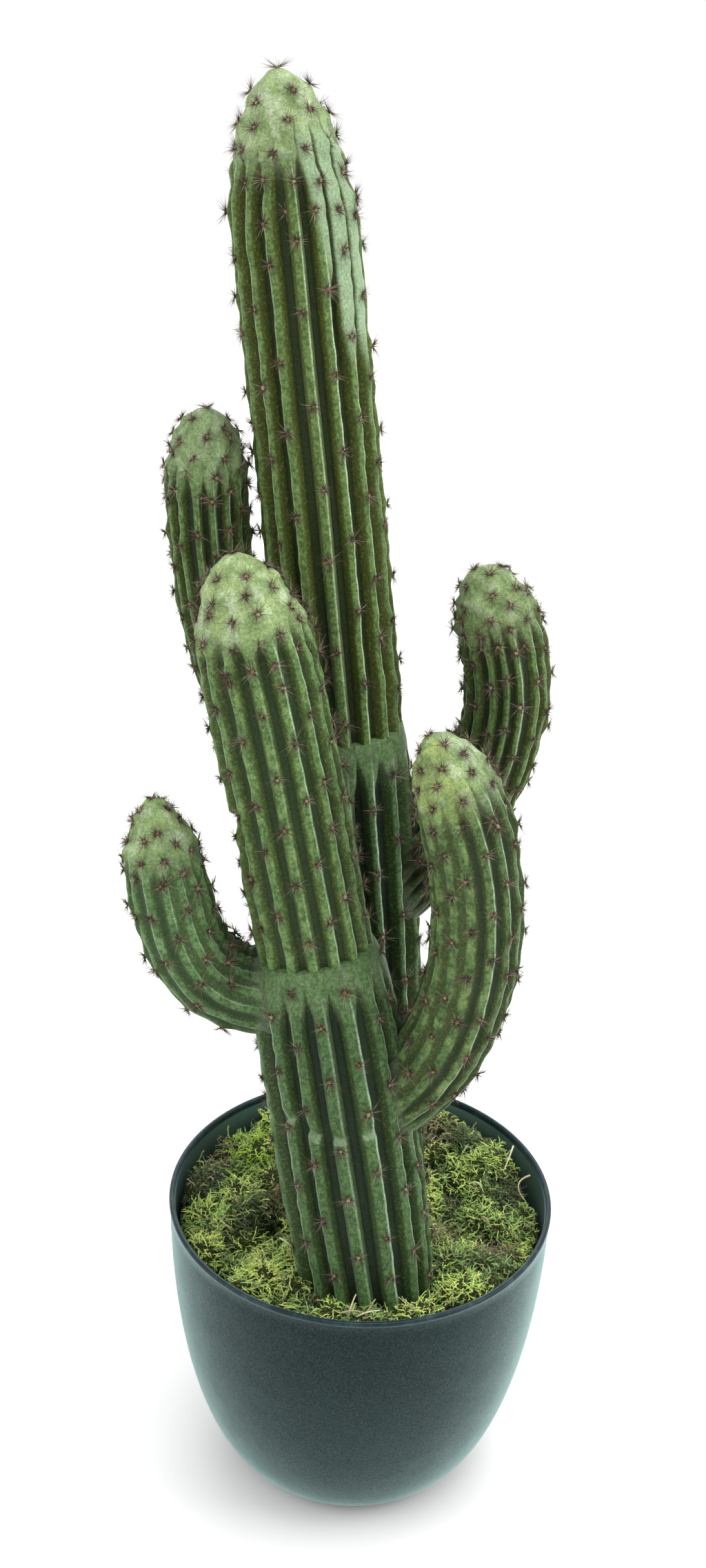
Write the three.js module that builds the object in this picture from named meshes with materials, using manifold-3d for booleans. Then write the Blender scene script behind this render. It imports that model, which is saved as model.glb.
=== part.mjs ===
// Artificial finger cactus: two ribbed stems with four arms, standing in a round pot topped with moss.
// Millimetres, +Z up, origin at the centre of the pot's flat underside, the front of the plant towards -Y.
import * as THREE from "three";
import { mergeVertices } from "three/addons/utils/BufferGeometryUtils.js";
import Module from "manifold-3d";

// Clearance kept between pieces that touch, and the wider one round what is packed into the pot
const GAP = 0.3;
const WALL_CLEARANCE = 1.2;
// Lengths under this count as nothing
const TINY = 1e-3;

// Pot: its wall is a quarter ellipse from the foot up to the rim, and the rim is a rounded bead
const POT_HEIGHT = 207;
const POT_FOOT_RADIUS = 64;
const POT_MOUTH_RADIUS = 123;
const POT_WALL = 3.2;
const POT_FLOOR = 5;
const RIM_RADIUS = 125;
const RIM_HEIGHT = 8;
const RIM_BEAD_RADIUS = 2.75;
const POT_FACETS = 36;
const OUTER_WALL_STEPS = 10;
const INNER_WALL_STEPS = 8;
const BEAD_STEPS = 5;

// Foam plug that fills the pot, and the bed of moss laid on it
const FILLING_TOP = 172;
const MOSS_LEVEL = 186;
const MOSS_LUMP = { height: 4, across: 17, deep: 19, ripple: 11 };
const MOSS_CUSHION = { x: -78, y: 12, radius: 42, height: 5 };
const MOSS_RINGS = 6;

// Ribs: each has a crest and two facets of valley, and the valleys are this share of the radius deep
const RIBS = 15;
const FACETS_PER_RIB = 3;
const RIB_DEPTH = 0.16;
// The ribs run out over the lower part of a dome, and its top share is smooth
const SMOOTH_TOP = 0.2;

// Rings along a limb: even steps, closer on the arms because they bend, then a few that round off an end
const STEM_RING_STEP = 60;
const ARM_RING_STEP = 24;
const ROUND_RINGS = 5;
// Steps in which an axis is measured
const AXIS_DIVISIONS = 400;

// Stems: four control points for the axis from under the moss to the tip, and where the collar is on it.
// The lower section swells between foot and collar and rounds in to the upper one, which ends in a dome.
const STEMS = {
  front_stem: {
    axis: [[12, -66, 158], [-16, -44, 330], [-45, -28, 496], [-87, -10, 658]],
    collar: 0.52,
    footRadius: 41.5,
    swell: 4,
    collarRadius: 42.5,
    shoulder: 40,
    upperRadius: 34.8,
    topRadius: 35,
    dome: 72,
    domePower: 2,
  },
  rear_stem: {
    axis: [[4, 28, 158], [-5, 46, 410], [-41, 74, 657], [-73, 92, 900]],
    collar: 0.485,
    footRadius: 40,
    swell: 0,
    collarRadius: 40,
    shoulder: 24,
    upperRadius: 37,
    topRadius: 36.2,
    dome: 94,
    domePower: 1.7,
  },
};
// A shoulder is rounder the higher this power is, and the ribs run out over this length below the collar
const SHOULDER_POWER = 1.4;
const COLLAR_RIB_FADE = 28;

// Arms: where each grows out of its stem, the control points of its axis past that, and where it is split
const ARMS = {
  front_left_arm: {
    stem: "front_stem",
    root: 0.468,
    lead: [-121, -38, 368],
    rise: [-117.5, -40, 446.5],
    tip: [-130, -38, 516],
    split: 0.56,
    rootRadius: 28.5,
    tipRadius: 22,
    dome: 52,
  },
  front_right_arm: {
    stem: "front_stem",
    root: 0.301,
    lead: [75, -50, 335],
    rise: [78.5, -58, 493],
    tip: [26.5, -50, 571],
    split: 0.5,
    rootRadius: 27.2,
    tipRadius: 26.8,
    dome: 58,
  },
  rear_right_arm: {
    stem: "rear_stem",
    root: 0.315,
    lead: [62, 67, 444],
    rise: [104, 54, 544],
    tip: [50, 58, 626.5],
    split: 0.54,
    rootRadius: 26,
    tipRadius: 26.5,
    dome: 56,
  },
  rear_left_arm: {
    stem: "rear_stem",
    root: 0.36,
    lead: [-93, 80, 493],
    rise: [-112, 66, 610],
    tip: [-109, 72, 713],
    split: 0.5,
    rootRadius: 24.5,
    tipRadius: 24.5,
    dome: 56,
  },
};
// An arm is smooth where it leaves the stem, and its ribs rise to full depth over this stretch of its axis
const ARM_SMOOTH_END = 36;
const ARM_RIBBED_START = 56;

const finishes = {
  pot: new THREE.MeshStandardMaterial({ color: 0x37484a, roughness: 0.5, metalness: 0 }),
  foam: new THREE.MeshStandardMaterial({ color: 0x6b6a4a, roughness: 0.95, metalness: 0 }),
  moss: new THREE.MeshStandardMaterial({ color: 0x6f7a2e, roughness: 1, metalness: 0 }),
  skin: new THREE.MeshStandardMaterial({ color: 0x4f6d41, roughness: 0.75, metalness: 0 }),
};

const wasm = await Module();
wasm.setup();

// A closed geometry as a solid that can be cut
function solidFrom(geometry) {
  const bare = geometry.index ? geometry.toNonIndexed() : geometry.clone();
  bare.deleteAttribute("normal");
  bare.deleteAttribute("uv");
  const merged = mergeVertices(bare, TINY);
  return new wasm.Manifold(
    new wasm.Mesh({
      numProp: 3,
      vertProperties: merged.attributes.position.array,
      triVerts: new Uint32Array(merged.index.array),
    }),
  );
}

// A solid as a named mesh
function meshFrom(name, solid, finish) {
  const { vertProperties, triVerts } = solid.getMesh();
  const geometry = new THREE.BufferGeometry()
    .setAttribute("position", new THREE.BufferAttribute(vertProperties, 3))
    .setIndex(new THREE.BufferAttribute(triVerts, 1));
  geometry.computeVertexNormals();
  const mesh = new THREE.Mesh(geometry, finish);
  mesh.name = name;
  return mesh;
}

// A profile of radius and height turned round the Z axis
function turned(profile, facets) {
  return new THREE.LatheGeometry(profile, facets).rotateX(Math.PI / 2);
}

// The pot's wall between two heights, as a stretch of a quarter ellipse set in from the outside and up from below
function wallArc(inset, lift, zFrom, zTo) {
  const across = POT_MOUTH_RADIUS - POT_FOOT_RADIUS - inset;
  const upright = POT_HEIGHT - lift;
  const angleAt = (z) => -Math.asin((POT_HEIGHT - z) / upright);
  return new THREE.EllipseCurve(
    POT_FOOT_RADIUS,
    POT_HEIGHT,
    across,
    upright,
    angleAt(zFrom),
    angleAt(zTo),
    zFrom > zTo,
  );
}

function makePot() {
  const underRim = POT_HEIGHT - RIM_HEIGHT;
  const beadHeight = POT_HEIGHT - RIM_BEAD_RADIUS;
  const bead = new THREE.EllipseCurve(
    RIM_RADIUS - RIM_BEAD_RADIUS,
    beadHeight,
    RIM_BEAD_RADIUS,
    RIM_BEAD_RADIUS,
    0,
    Math.PI,
  );
  const profile = [
    new THREE.Vector2(0, 0),
    ...wallArc(0, 0, 0, underRim).getPoints(OUTER_WALL_STEPS),
    new THREE.Vector2(RIM_RADIUS, underRim),
    ...bead.getPoints(BEAD_STEPS),
    ...wallArc(POT_WALL, POT_FLOOR, underRim, POT_FLOOR).getPoints(INNER_WALL_STEPS),
    new THREE.Vector2(0, POT_FLOOR),
  ];
  return solidFrom(turned(profile, POT_FACETS));
}

function makeFilling() {
  const bottom = POT_FLOOR + GAP;
  const wall = wallArc(POT_WALL + WALL_CLEARANCE, bottom, bottom, FILLING_TOP);
  const profile = [
    new THREE.Vector2(0, bottom),
    ...wall.getPoints(INNER_WALL_STEPS),
    new THREE.Vector2(0, FILLING_TOP),
  ];
  return solidFrom(turned(profile, POT_FACETS));
}

// How high the moss stands: a low swell of lumps, and one larger cushion on the left
function mossHeight(x, y) {
  const broad = Math.sin(x / MOSS_LUMP.across) * Math.cos(y / MOSS_LUMP.deep);
  const ripple = Math.sin((x - y) / MOSS_LUMP.ripple) / 2;
  const away = Math.hypot(x - MOSS_CUSHION.x, y - MOSS_CUSHION.y) / MOSS_CUSHION.radius;
  return MOSS_LEVEL + MOSS_LUMP.height * (broad + ripple) + MOSS_CUSHION.height * Math.exp(-away * away);
}

function makeMossBed() {
  const bottom = FILLING_TOP + GAP;
  const wall = wallArc(POT_WALL + WALL_CLEARANCE, POT_FLOOR, bottom, MOSS_LEVEL).getPoints(1);
  const edgeRadius = wall[1].x;
  const rings = Array.from({ length: MOSS_RINGS }, (_, i) => edgeRadius * (1 - (i + 1) / MOSS_RINGS));
  const profile = [
    new THREE.Vector2(0, bottom),
    ...wall,
    ...rings.map((radius) => new THREE.Vector2(radius, MOSS_LEVEL)),
  ];
  const bed = turned(profile, POT_FACETS);
  const places = bed.attributes.position;
  for (let i = 0; i < places.count; i += 1) {
    const onTop = places.getZ(i) > MOSS_LEVEL - TINY;
    if (onTop) places.setZ(i, mossHeight(places.getX(i), places.getY(i)));
  }
  return solidFrom(bed);
}

const smooth = (from, to, value) => THREE.MathUtils.smoothstep(value, from, to);

// How a round end closes: 1 where the rounding starts, 0 at its end
function rounding(s, end, length, power = 2) {
  const into = THREE.MathUtils.clamp((s - (end - length)) / length, 0, 1);
  return (1 - into ** power) ** (1 / power);
}

function curveThrough(points) {
  const curve = new THREE.CubicBezierCurve3(...points);
  curve.arcLengthDivisions = AXIS_DIVISIONS;
  return curve;
}

// A stem: its axis, and its radius and depth of rib at each distance along that axis
function makeStem(size) {
  const curve = curveThrough(size.axis.map((point) => new THREE.Vector3(...point)));
  const length = curve.getLength();
  const collarAt = size.collar * length;
  const lowerRadius = (s) => {
    const share = s / collarAt;
    const plain = THREE.MathUtils.lerp(size.footRadius, size.collarRadius, share);
    const inward = 1 - rounding(s, collarAt, size.shoulder, SHOULDER_POWER);
    const step = (size.collarRadius - size.upperRadius) * inward;
    return plain + size.swell * Math.sin(Math.PI * share) - step;
  };
  const upperRadius = (s) => {
    const share = (s - collarAt) / (length - collarAt);
    const plain = THREE.MathUtils.lerp(size.upperRadius, size.topRadius, share);
    return plain * rounding(s, length, size.dome, size.domePower);
  };
  const ribAt = (s) => {
    const onShoulder = s <= collarAt ? smooth(collarAt - COLLAR_RIB_FADE, collarAt, s) : 0;
    const onDome = smooth(length - size.dome, length - SMOOTH_TOP * size.dome, s);
    return RIB_DEPTH * (1 - Math.max(onShoulder, onDome));
  };
  return {
    curve,
    length,
    collarAt,
    dome: size.dome,
    ringStep: STEM_RING_STEP,
    ribAt,
    radiusAt: (s) => (s <= collarAt ? lowerRadius(s) : upperRadius(s)),
  };
}

// An arm: it starts on its stem's axis and bends up to its own tip
function makeArm(size, stem) {
  const root = stem.curve.getPointAt(size.root);
  const curve = curveThrough([root, ...[size.lead, size.rise, size.tip].map((p) => new THREE.Vector3(...p))]);
  const length = curve.getLength();
  const radiusAt = (s) => {
    const plain = THREE.MathUtils.lerp(size.rootRadius, size.tipRadius, s / length);
    return plain * rounding(s, length, size.dome);
  };
  const ribAt = (s) => {
    const onDome = smooth(length - size.dome, length - SMOOTH_TOP * size.dome, s);
    return RIB_DEPTH * Math.min(smooth(ARM_SMOOTH_END, ARM_RIBBED_START, s), 1 - onDome);
  };
  return {
    curve,
    length,
    splitAt: size.split * length,
    dome: size.dome,
    ringStep: ARM_RING_STEP,
    ribAt,
    radiusAt,
  };
}

// Distances along an axis at which a limb has a ring: even steps, then closer ones over a rounded end
function ringStations(from, to, roundLength, ringStep) {
  const evenEnd = to - roundLength;
  const steps = Math.ceil((evenEnd - from) / ringStep);
  const even = Array.from({ length: steps + 1 }, (_, i) => from + ((evenEnd - from) * i) / steps);
  const turn = Array.from({ length: roundLength > 0 ? ROUND_RINGS : 0 }, (_, i) => {
    const angle = ((Math.PI / 2) * (i + 1)) / ROUND_RINGS;
    return evenEnd + roundLength * Math.sin(angle);
  });
  return [...even, ...turn];
}

// A stretch of a limb: a turned profile whose ribs are pressed in, bent to follow the limb's axis.
// The angle round the limb is counted from its front. A grown stretch is the shape to cut neighbours with.
function limbSolid(limb, from, to, roundLength, grow = 0) {
  const stations = ringStations(from, to, roundLength, limb.ringStep);
  const profile = stations.map((s) => new THREE.Vector2(limb.radiusAt(s) + grow, s));
  profile.unshift(new THREE.Vector2(0, from));
  const lastRing = profile[profile.length - 1];
  if (lastRing.x > TINY) profile.push(new THREE.Vector2(0, to));
  else lastRing.x = 0;
  const geometry = new THREE.LatheGeometry(profile, RIBS * FACETS_PER_RIB);
  const places = geometry.attributes.position;
  const forward = new THREE.Vector3();
  const sideways = new THREE.Vector3();
  const place = new THREE.Vector3();
  for (let i = 0; i < places.count; i += 1) {
    const [x, s, z] = [places.getX(i), places.getY(i), places.getZ(i)];
    const share = THREE.MathUtils.clamp(s / limb.length, 0, 1);
    const along = limb.curve.getTangentAt(share);
    forward.set(0, -1, 0).addScaledVector(along, along.y).normalize();
    sideways.crossVectors(along, forward);
    const valley = 0.5 - 0.5 * Math.cos(RIBS * Math.atan2(x, z));
    const pressed = 1 - limb.ribAt(s) * valley;
    place.copy(limb.curve.getPointAt(share));
    place.addScaledVector(sideways, x * pressed).addScaledVector(forward, z * pressed);
    places.setXYZ(i, place.x, place.y, place.z);
  }
  return solidFrom(geometry);
}

// What is left of a solid above a level cut
function cutLevel(solid, z) {
  const side = 4 * RIM_RADIUS;
  const below = new THREE.BoxGeometry(side, side, side).translate(0, 0, z - side / 2);
  return solid.subtract(solidFrom(below));
}

const plant = new THREE.Group();
plant.name = "finger_cactus";
plant.add(meshFrom("pot", makePot(), finishes.pot));
plant.add(meshFrom("filling", makeFilling(), finishes.foam));

const stems = {};
const cutters = {};
for (const [name, size] of Object.entries(STEMS)) {
  const stem = makeStem(size);
  const lower = limbSolid(stem, 0, stem.collarAt, size.shoulder);
  const upper = limbSolid(stem, stem.collarAt + GAP, stem.length, stem.dome);
  stems[name] = stem;
  cutters[name] = limbSolid(stem, 0, stem.collarAt, size.shoulder, GAP).add(
    limbSolid(stem, stem.collarAt - size.shoulder, stem.length, stem.dome, GAP),
  );
  plant.add(meshFrom(`${name}_lower`, cutLevel(lower, FILLING_TOP + GAP), finishes.skin));
  plant.add(meshFrom(`${name}_upper`, upper, finishes.skin));
}

const mossBed = makeMossBed().subtract(cutters.front_stem).subtract(cutters.rear_stem);
plant.add(meshFrom("moss_bed", mossBed, finishes.moss));

for (const [name, size] of Object.entries(ARMS)) {
  const arm = makeArm(size, stems[size.stem]);
  const elbow = limbSolid(arm, 0, arm.splitAt, 0).subtract(cutters[size.stem]);
  const finger = limbSolid(arm, arm.splitAt + GAP, arm.length, arm.dome);
  plant.add(meshFrom(`${name}_elbow`, elbow, finishes.skin));
  plant.add(meshFrom(`${name}_finger`, finger, finishes.skin));
}

export default plant;
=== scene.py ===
# Artificial finger cactus in a round pot with moss: its visible pieces, finishes, light and camera.
# Metres, +Z up, the front towards -Y, the origin at the centre of the pot's underside.
import bpy
import numpy as np
from mathutils import Matrix


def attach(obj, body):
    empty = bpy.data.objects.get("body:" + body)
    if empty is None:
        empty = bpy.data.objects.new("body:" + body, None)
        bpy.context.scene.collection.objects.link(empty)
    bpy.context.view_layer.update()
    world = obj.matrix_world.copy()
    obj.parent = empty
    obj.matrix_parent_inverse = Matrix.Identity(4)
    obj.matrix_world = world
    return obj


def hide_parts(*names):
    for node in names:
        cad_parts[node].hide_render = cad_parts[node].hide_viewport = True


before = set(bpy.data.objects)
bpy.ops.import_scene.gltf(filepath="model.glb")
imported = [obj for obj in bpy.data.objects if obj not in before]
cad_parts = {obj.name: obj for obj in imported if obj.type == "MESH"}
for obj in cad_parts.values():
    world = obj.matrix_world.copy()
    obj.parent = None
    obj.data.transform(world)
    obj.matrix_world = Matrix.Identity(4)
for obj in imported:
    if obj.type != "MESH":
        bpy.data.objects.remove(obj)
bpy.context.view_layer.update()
print("frame:", len(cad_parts), "nodes")

fullTurn = 2.0 * np.pi
spikeFaces = np.array([[0, 1, 3], [1, 2, 3], [2, 0, 3], [2, 1, 0]])     # three corners and a tip
goldenShare = 0.381966          # of a turn or a step, so that rows stagger


# Small helpers

def smoothStep(low, high, value):
    # 0 below low, 1 above high, and 3t^2 - 2t^3 between them
    t = np.clip((value - low) / (high - low), 0.0, 1.0)
    return t * t * (3.0 - 2.0 * t)


def blendTo(start, end, share):
    # start plus that share of the way to end
    return start + (end - start) * share


def unit(vectors):
    # each vector divided by its length
    return vectors / np.maximum(np.linalg.norm(vectors, axis=-1, keepdims=True), 1e-12)


def degreesOff(angle):
    # an angle from the front in degrees, between -180 and 180
    return np.degrees(np.mod(angle + np.pi, fullTurn) - np.pi)


def gridFaces(rows, columns):
    # the quads between neighbouring rows of a grid whose last column joins its first
    row, column = np.meshgrid(np.arange(rows - 1), np.arange(columns), indexing="ij")
    after = (column + 1) % columns
    low = row * columns
    high = low + columns
    return np.stack([low + column, low + after, high + after, high + column], -1).reshape(-1, 4)


def fanFaces(firstCorner, columns, pole, facesUp):
    # triangles from a closed ring of corners to one pole
    column = np.arange(columns)
    ring = firstCorner + column
    after = firstCorner + (column + 1) % columns
    sides = (ring, after) if facesUp else (after, ring)
    return np.stack([*sides, np.full(columns, pole)], -1)


def makeMesh(name, points, *faceRows):
    # points become vertices, and each row of three or four corner numbers a smooth face
    mesh = bpy.data.meshes.new(name)
    faces = [face for rows in faceRows for face in rows.tolist()]
    mesh.from_pydata(points.tolist(), [], faces, shade_flat=False)
    return mesh


def closedMesh(name, points, poles):
    # rings of corners joined to their neighbours, the first and the last ring closed by a pole each
    rows, columns = points.shape[:2]
    corners = np.concatenate([points.reshape(-1, 3), poles])
    below = fanFaces(0, columns, len(corners) - 2, False)
    above = fanFaces((rows - 1) * columns, columns, len(corners) - 1, True)
    return makeMesh(name, corners, gridFaces(rows, columns), below, above)


def makeRepeated(name, copies, patterns, dealt):
    # copies holds the corners of every copy, patterns the faces of one, and dealt each copy's material
    count, corners = copies.shape[:2]
    first = corners * np.arange(count)
    faceRows = [(rows[None] + first[:, None, None]).reshape(-1, rows.shape[1]) for rows in patterns]
    mesh = makeMesh(name, copies.reshape(-1, 3), *faceRows)
    tones = np.concatenate([np.repeat(dealt, len(rows)) for rows in patterns])
    mesh.polygons.foreach_set("material_index", tones.astype(np.int32))
    return mesh


def setValues(mesh, name, values):
    # one number for each vertex, for a material to read
    attribute = mesh.attributes.new(name, "FLOAT", "POINT")
    attribute.data.foreach_set("value", np.asarray(values, np.float32).ravel())


def addPiece(mesh, materials, slotName, *nodes):
    # a finished piece at the origin, on the one body, in place of the solids that it stands for
    piece = bpy.data.objects.new(mesh.name, mesh)
    bpy.context.scene.collection.objects.link(piece)
    for material in materials:
        mesh.materials.append(material)
    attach(piece, "root")
    if nodes:
        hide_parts(*nodes)


def addHalves(name, copies, patterns, dealt, materials, slotName):
    # every other copy in one piece and the rest in a second, so that neither is too large
    even = np.arange(len(copies)) % 2 == 0
    for letter, rows in (("a", even), ("b", ~even)):
        mesh = makeRepeated(f"{name}_{letter}", copies[rows], patterns, dealt[rows])
        addPiece(mesh, materials, slotName)


def standAt(thing, right, up, back, place):
    # an object whose own axes point right, up and back, put at a place
    turn = np.eye(4)
    turn[:3, :3] = np.stack([right, up, back], 1)
    turn[:3, 3] = place
    thing.matrix_world = Matrix(turn.tolist())
    bpy.context.scene.collection.objects.link(thing)


# Material helpers

def addNode(tree, kind, inputs, **settings):
    # a shader node: a socket given as an input is linked, any other value is set
    made = tree.nodes.new(kind)
    for key, value in settings.items():
        setattr(made, key, value)
    for key, value in inputs.items():
        if isinstance(value, bpy.types.NodeSocket):
            tree.links.new(value, made.inputs[key])
        else:
            made.inputs[key].default_value = value
    return made


def noiseOf(tree, scale, detail, roughness=0.5, stretch=(1.0, 1.0, 1.0)):
    # smooth noise in the piece's own metres, drawn closer together along each axis by stretch
    place = addNode(tree, "ShaderNodeTexCoord", {}).outputs["Object"]
    scaled = addNode(tree, "ShaderNodeMapping", {"Vector": place, "Scale": stretch}).outputs["Vector"]
    inputs = {"Vector": scaled, "Scale": scale, "Detail": detail, "Roughness": roughness}
    return addNode(tree, "ShaderNodeTexNoise", inputs).outputs["Fac"]


def ranged(tree, value, low, high, newLow=0.0, newHigh=1.0):
    # value's stretch from low to high drawn out smoothly to newLow to newHigh
    inputs = {"Value": value, "From Min": low, "From Max": high, "To Min": newLow, "To Max": newHigh}
    return addNode(tree, "ShaderNodeMapRange", inputs, interpolation_type="SMOOTHSTEP").outputs["Result"]


def times(tree, first, second):
    return addNode(tree, "ShaderNodeMath", {0: first, 1: second}, operation="MULTIPLY").outputs[0]


def plus(tree, first, second):
    return addNode(tree, "ShaderNodeMath", {0: first, 1: second}, operation="ADD").outputs[0]


def mixed(tree, share, first, second, way="MIX"):
    # two colours mixed by a share
    mix = addNode(tree, "ShaderNodeMix", {0: share, 6: first, 7: second}, data_type="RGBA", blend_type=way)
    return mix.outputs[2]


def read(tree, name):
    # a number that the piece's vertices hold
    return addNode(tree, "ShaderNodeAttribute", {}, attribute_name=name).outputs["Fac"]


def opaque(colour):
    return (*colour, 1.0)


def setSockets(shader, values):
    # each named socket set to one even value
    for key, value in values.items():
        shader.inputs[key].default_value = value


def newMaterial(name, roughness):
    material = bpy.data.materials.new(name)
    material.use_nodes = True
    shader = material.node_tree.nodes["Principled BSDF"]
    setSockets(shader, {"Roughness": roughness})
    return material, material.node_tree, shader


def sheenOf(specular, weight, roughness, tint):
    # the sockets of a faint gloss and a soft sheen
    return {
        "Specular IOR Level": specular,
        "Sheen Weight": weight,
        "Sheen Roughness": roughness,
        "Sheen Tint": opaque(tint),
    }


def addBump(tree, shader, height, strength, distance):
    inputs = {"Height": height, "Strength": strength, "Distance": distance}
    bump = addNode(tree, "ShaderNodeBump", inputs)
    tree.links.new(bump.outputs["Normal"], shader.inputs["Normal"])


dullSpecular = 0.2


def plainMaterials(name, colours, roughness, sheen):
    # plain colours that are dealt out over a piece made of many small things
    made = []
    for number, colour in enumerate(colours):
        material, tree, shader = newMaterial(f"{name}{number}", roughness)
        values = {"Base Color": opaque(colour), "Sheen Weight": sheen, "Specular IOR Level": dullSpecular}
        setSockets(shader, values)
        made.append(material)
    return made


# Camera, floor and light

view = {
    "place": (-0.00067, -1.14297, 1.13073),
    "pitch": 28.474,            # degrees down
    "yaw": -0.742,              # degrees to the right
    "roll": 2.266,
    "focalPixels": 3200.0,
    "imageHeight": 2275,
    "sensor": 36.0,             # long side, in millimetres
}


def makeCamera():
    # the view axis from pitch and yaw, then the picture turned about it by the roll
    pitch, yaw, roll = np.radians([view["pitch"], view["yaw"], view["roll"]])
    ahead = np.array([np.sin(yaw) * np.cos(pitch), np.cos(yaw) * np.cos(pitch), -np.sin(pitch)])
    level = np.array([np.cos(yaw), -np.sin(yaw), 0.0])
    upright = np.cross(level, ahead)
    right = np.cos(roll) * level + np.sin(roll) * upright
    up = -np.sin(roll) * level + np.cos(roll) * upright
    data = bpy.data.cameras.new("camera")
    data.sensor_width = view["sensor"]
    data.lens = view["sensor"] * view["focalPixels"] / view["imageHeight"]
    camera = bpy.data.objects.new("camera", data)
    standAt(camera, right, up, -ahead, view["place"])
    bpy.context.scene.camera = camera


studio = {
    "floorRadius": 14.0,
    "floorSides": 64,
    "floorRoughness": 0.9,
    "floorColour": (0.95, 0.95, 0.95),
    "sky": 1.0,
    "lamps": {                  # place, side of the square lamp, watts
        "above": ((0.5, -0.1, 2.6), 1.6, 24.0),
        "right": ((1.9, -0.3, 1.5), 1.3, 16.0),
        "left": ((-1.9, -0.6, 1.2), 1.3, 9.0),
        "behind": ((0.0, 2.0, 1.5), 1.8, 16.0),
    },
    "aim": (0.0, 0.0, 0.45),
    "exposure": 0.08,
}


def makeStudio():
    # a wide pale disc, an even white sky, and square lamps turned to the plant
    sides = studio["floorSides"]
    angle = np.linspace(0.0, fullTurn, sides, endpoint=False)
    ring = studio["floorRadius"] * np.stack([np.cos(angle), np.sin(angle), 0.0 * angle], 1)
    mesh = makeMesh("floor", np.concatenate([ring, np.zeros((1, 3))]), fanFaces(0, sides, sides, True))
    floor = bpy.data.objects.new("floor", mesh)
    bpy.context.scene.collection.objects.link(floor)
    material, tree, shader = newMaterial("paleFloor", studio["floorRoughness"])
    setSockets(shader, {"Base Color": opaque(studio["floorColour"])})
    mesh.materials.append(material)
    world = bpy.data.worlds.new("whiteSky")
    world.use_nodes = True
    white = (1.0, 1.0, 1.0, 1.0)
    setSockets(world.node_tree.nodes["Background"], {"Color": white, "Strength": studio["sky"]})
    bpy.context.scene.world = world
    for name, (place, side, watts) in studio["lamps"].items():
        light = bpy.data.lights.new(name, "AREA")
        light.size = side
        light.energy = watts
        lamp = bpy.data.objects.new(name, light)
        back = unit(np.array(place) - np.array(studio["aim"]))
        across = unit(np.cross([0.0, 0.0, 1.0], back))
        standAt(lamp, across, np.cross(back, across), back, place)
    settings = bpy.context.scene.view_settings
    settings.view_transform = "Standard"
    settings.exposure = studio["exposure"]


makeCamera()
makeStudio()
print("camera, floor and light")


# Pot

pot = {
    "height": 0.207,
    "footRadius": 0.064,
    "mouthRadius": 0.1242,
    "wall": 0.0032,
    "floor": 0.005,
    "rimRadius": 0.125,
    "rimHeight": 0.0040,
    "beadRadius": 0.0019,
    "footEase": 0.0008,         # height at which the outer wall starts
    "footInset": 0.001,
    "columns": 192,
    "colour": (0.0020, 0.0070, 0.0072),
    "paleColour": (0.040, 0.088, 0.085),
    "roughness": 0.42,
    "specular": 0.08,
    "sheen": 0.95,
    "sheenRoughness": 0.32,
    "sheenTint": (0.62, 0.92, 0.87),
    # the inside is painted far paler than the outside: painted light on a shaded wall
    "insidePaintedLight": (0.100, 0.168, 0.150),
    "rimColour": (0.0045, 0.0165, 0.0215),
    "rimPale": (0.070, 0.130, 0.135),
    "rimRoughness": 0.28,
    "rimSpecular": 0.22,
    "rimSheen": 0.7,
    "rimSheenTint": (0.45, 0.78, 0.92),
    "insideRoughness": 0.6,
}


def wallArc(inset, lift, heights):
    # radius of the pot's wall at each height: a quarter ellipse from the foot up to the rim
    across = pot["mouthRadius"] - pot["footRadius"] - inset
    down = (pot["height"] - heights) / (pot["height"] - lift)
    return pot["footRadius"] + across * np.sqrt(np.clip(1.0 - down ** 2, 0.0, 1.0))


def easedHeights(low, high, count):
    # heights that lie closer together near the low end, where the wall curves most
    return low + (high - low) * np.linspace(0.0, 1.0, count) ** 2


def potProfile():
    # radius and height from the middle of the underside, up the outside, over the bead and down the inside
    underRim = pot["height"] - pot["rimHeight"]
    bead = pot["beadRadius"]
    outerHeights = easedHeights(pot["footEase"], underRim, 60)
    outer = np.stack([wallArc(0.0, 0.0, outerHeights), outerHeights], 1)
    foot = np.array([[pot["footRadius"] * 0.5, 0.0], [pot["footRadius"] - pot["footInset"], 0.0]])
    turn = np.linspace(-np.pi / 6.0, np.pi, 18)
    lipRadius = np.cos(turn) * bead + pot["rimRadius"] - bead
    lip = np.stack([lipRadius, np.sin(turn) * bead + pot["height"] - bead], 1)
    innerHeights = easedHeights(pot["floor"], underRim, 50)[::-1]
    inner = np.stack([wallArc(pot["wall"], pot["floor"], innerHeights), innerHeights], 1)
    first = len(foot) + len(outer)
    return np.concatenate([foot, outer, lip, inner]), first, first + len(lip)


def makePot():
    # the profile carried round the Z axis, closed at the middle of the underside and of the inner floor
    profile, lipFirst, lipEnd = potProfile()
    angle = np.linspace(0.0, fullTurn, pot["columns"], endpoint=False)
    ring = np.stack([np.cos(angle), np.sin(angle)], 1)
    points = np.empty((len(profile), len(angle), 3))
    points[..., :2] = profile[:, None, :1] * ring[None]
    points[..., 2] = profile[:, None, 1]
    poles = np.array([[0.0, 0.0, 0.0], [0.0, 0.0, pot["floor"]]])
    mesh = closedMesh("pot_shell", points, poles)
    parts = np.zeros(len(mesh.polygons), np.int32)      # 0 outside, 1 on the bead, 2 inside
    parts[lipFirst * len(angle):] = 2
    parts[lipFirst * len(angle):lipEnd * len(angle)] = 1
    mesh.polygons.foreach_set("material_index", parts)
    addPiece(mesh, [potPlastic(), rimPlastic(), insidePlastic()], "pot_plastic", "pot")


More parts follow.
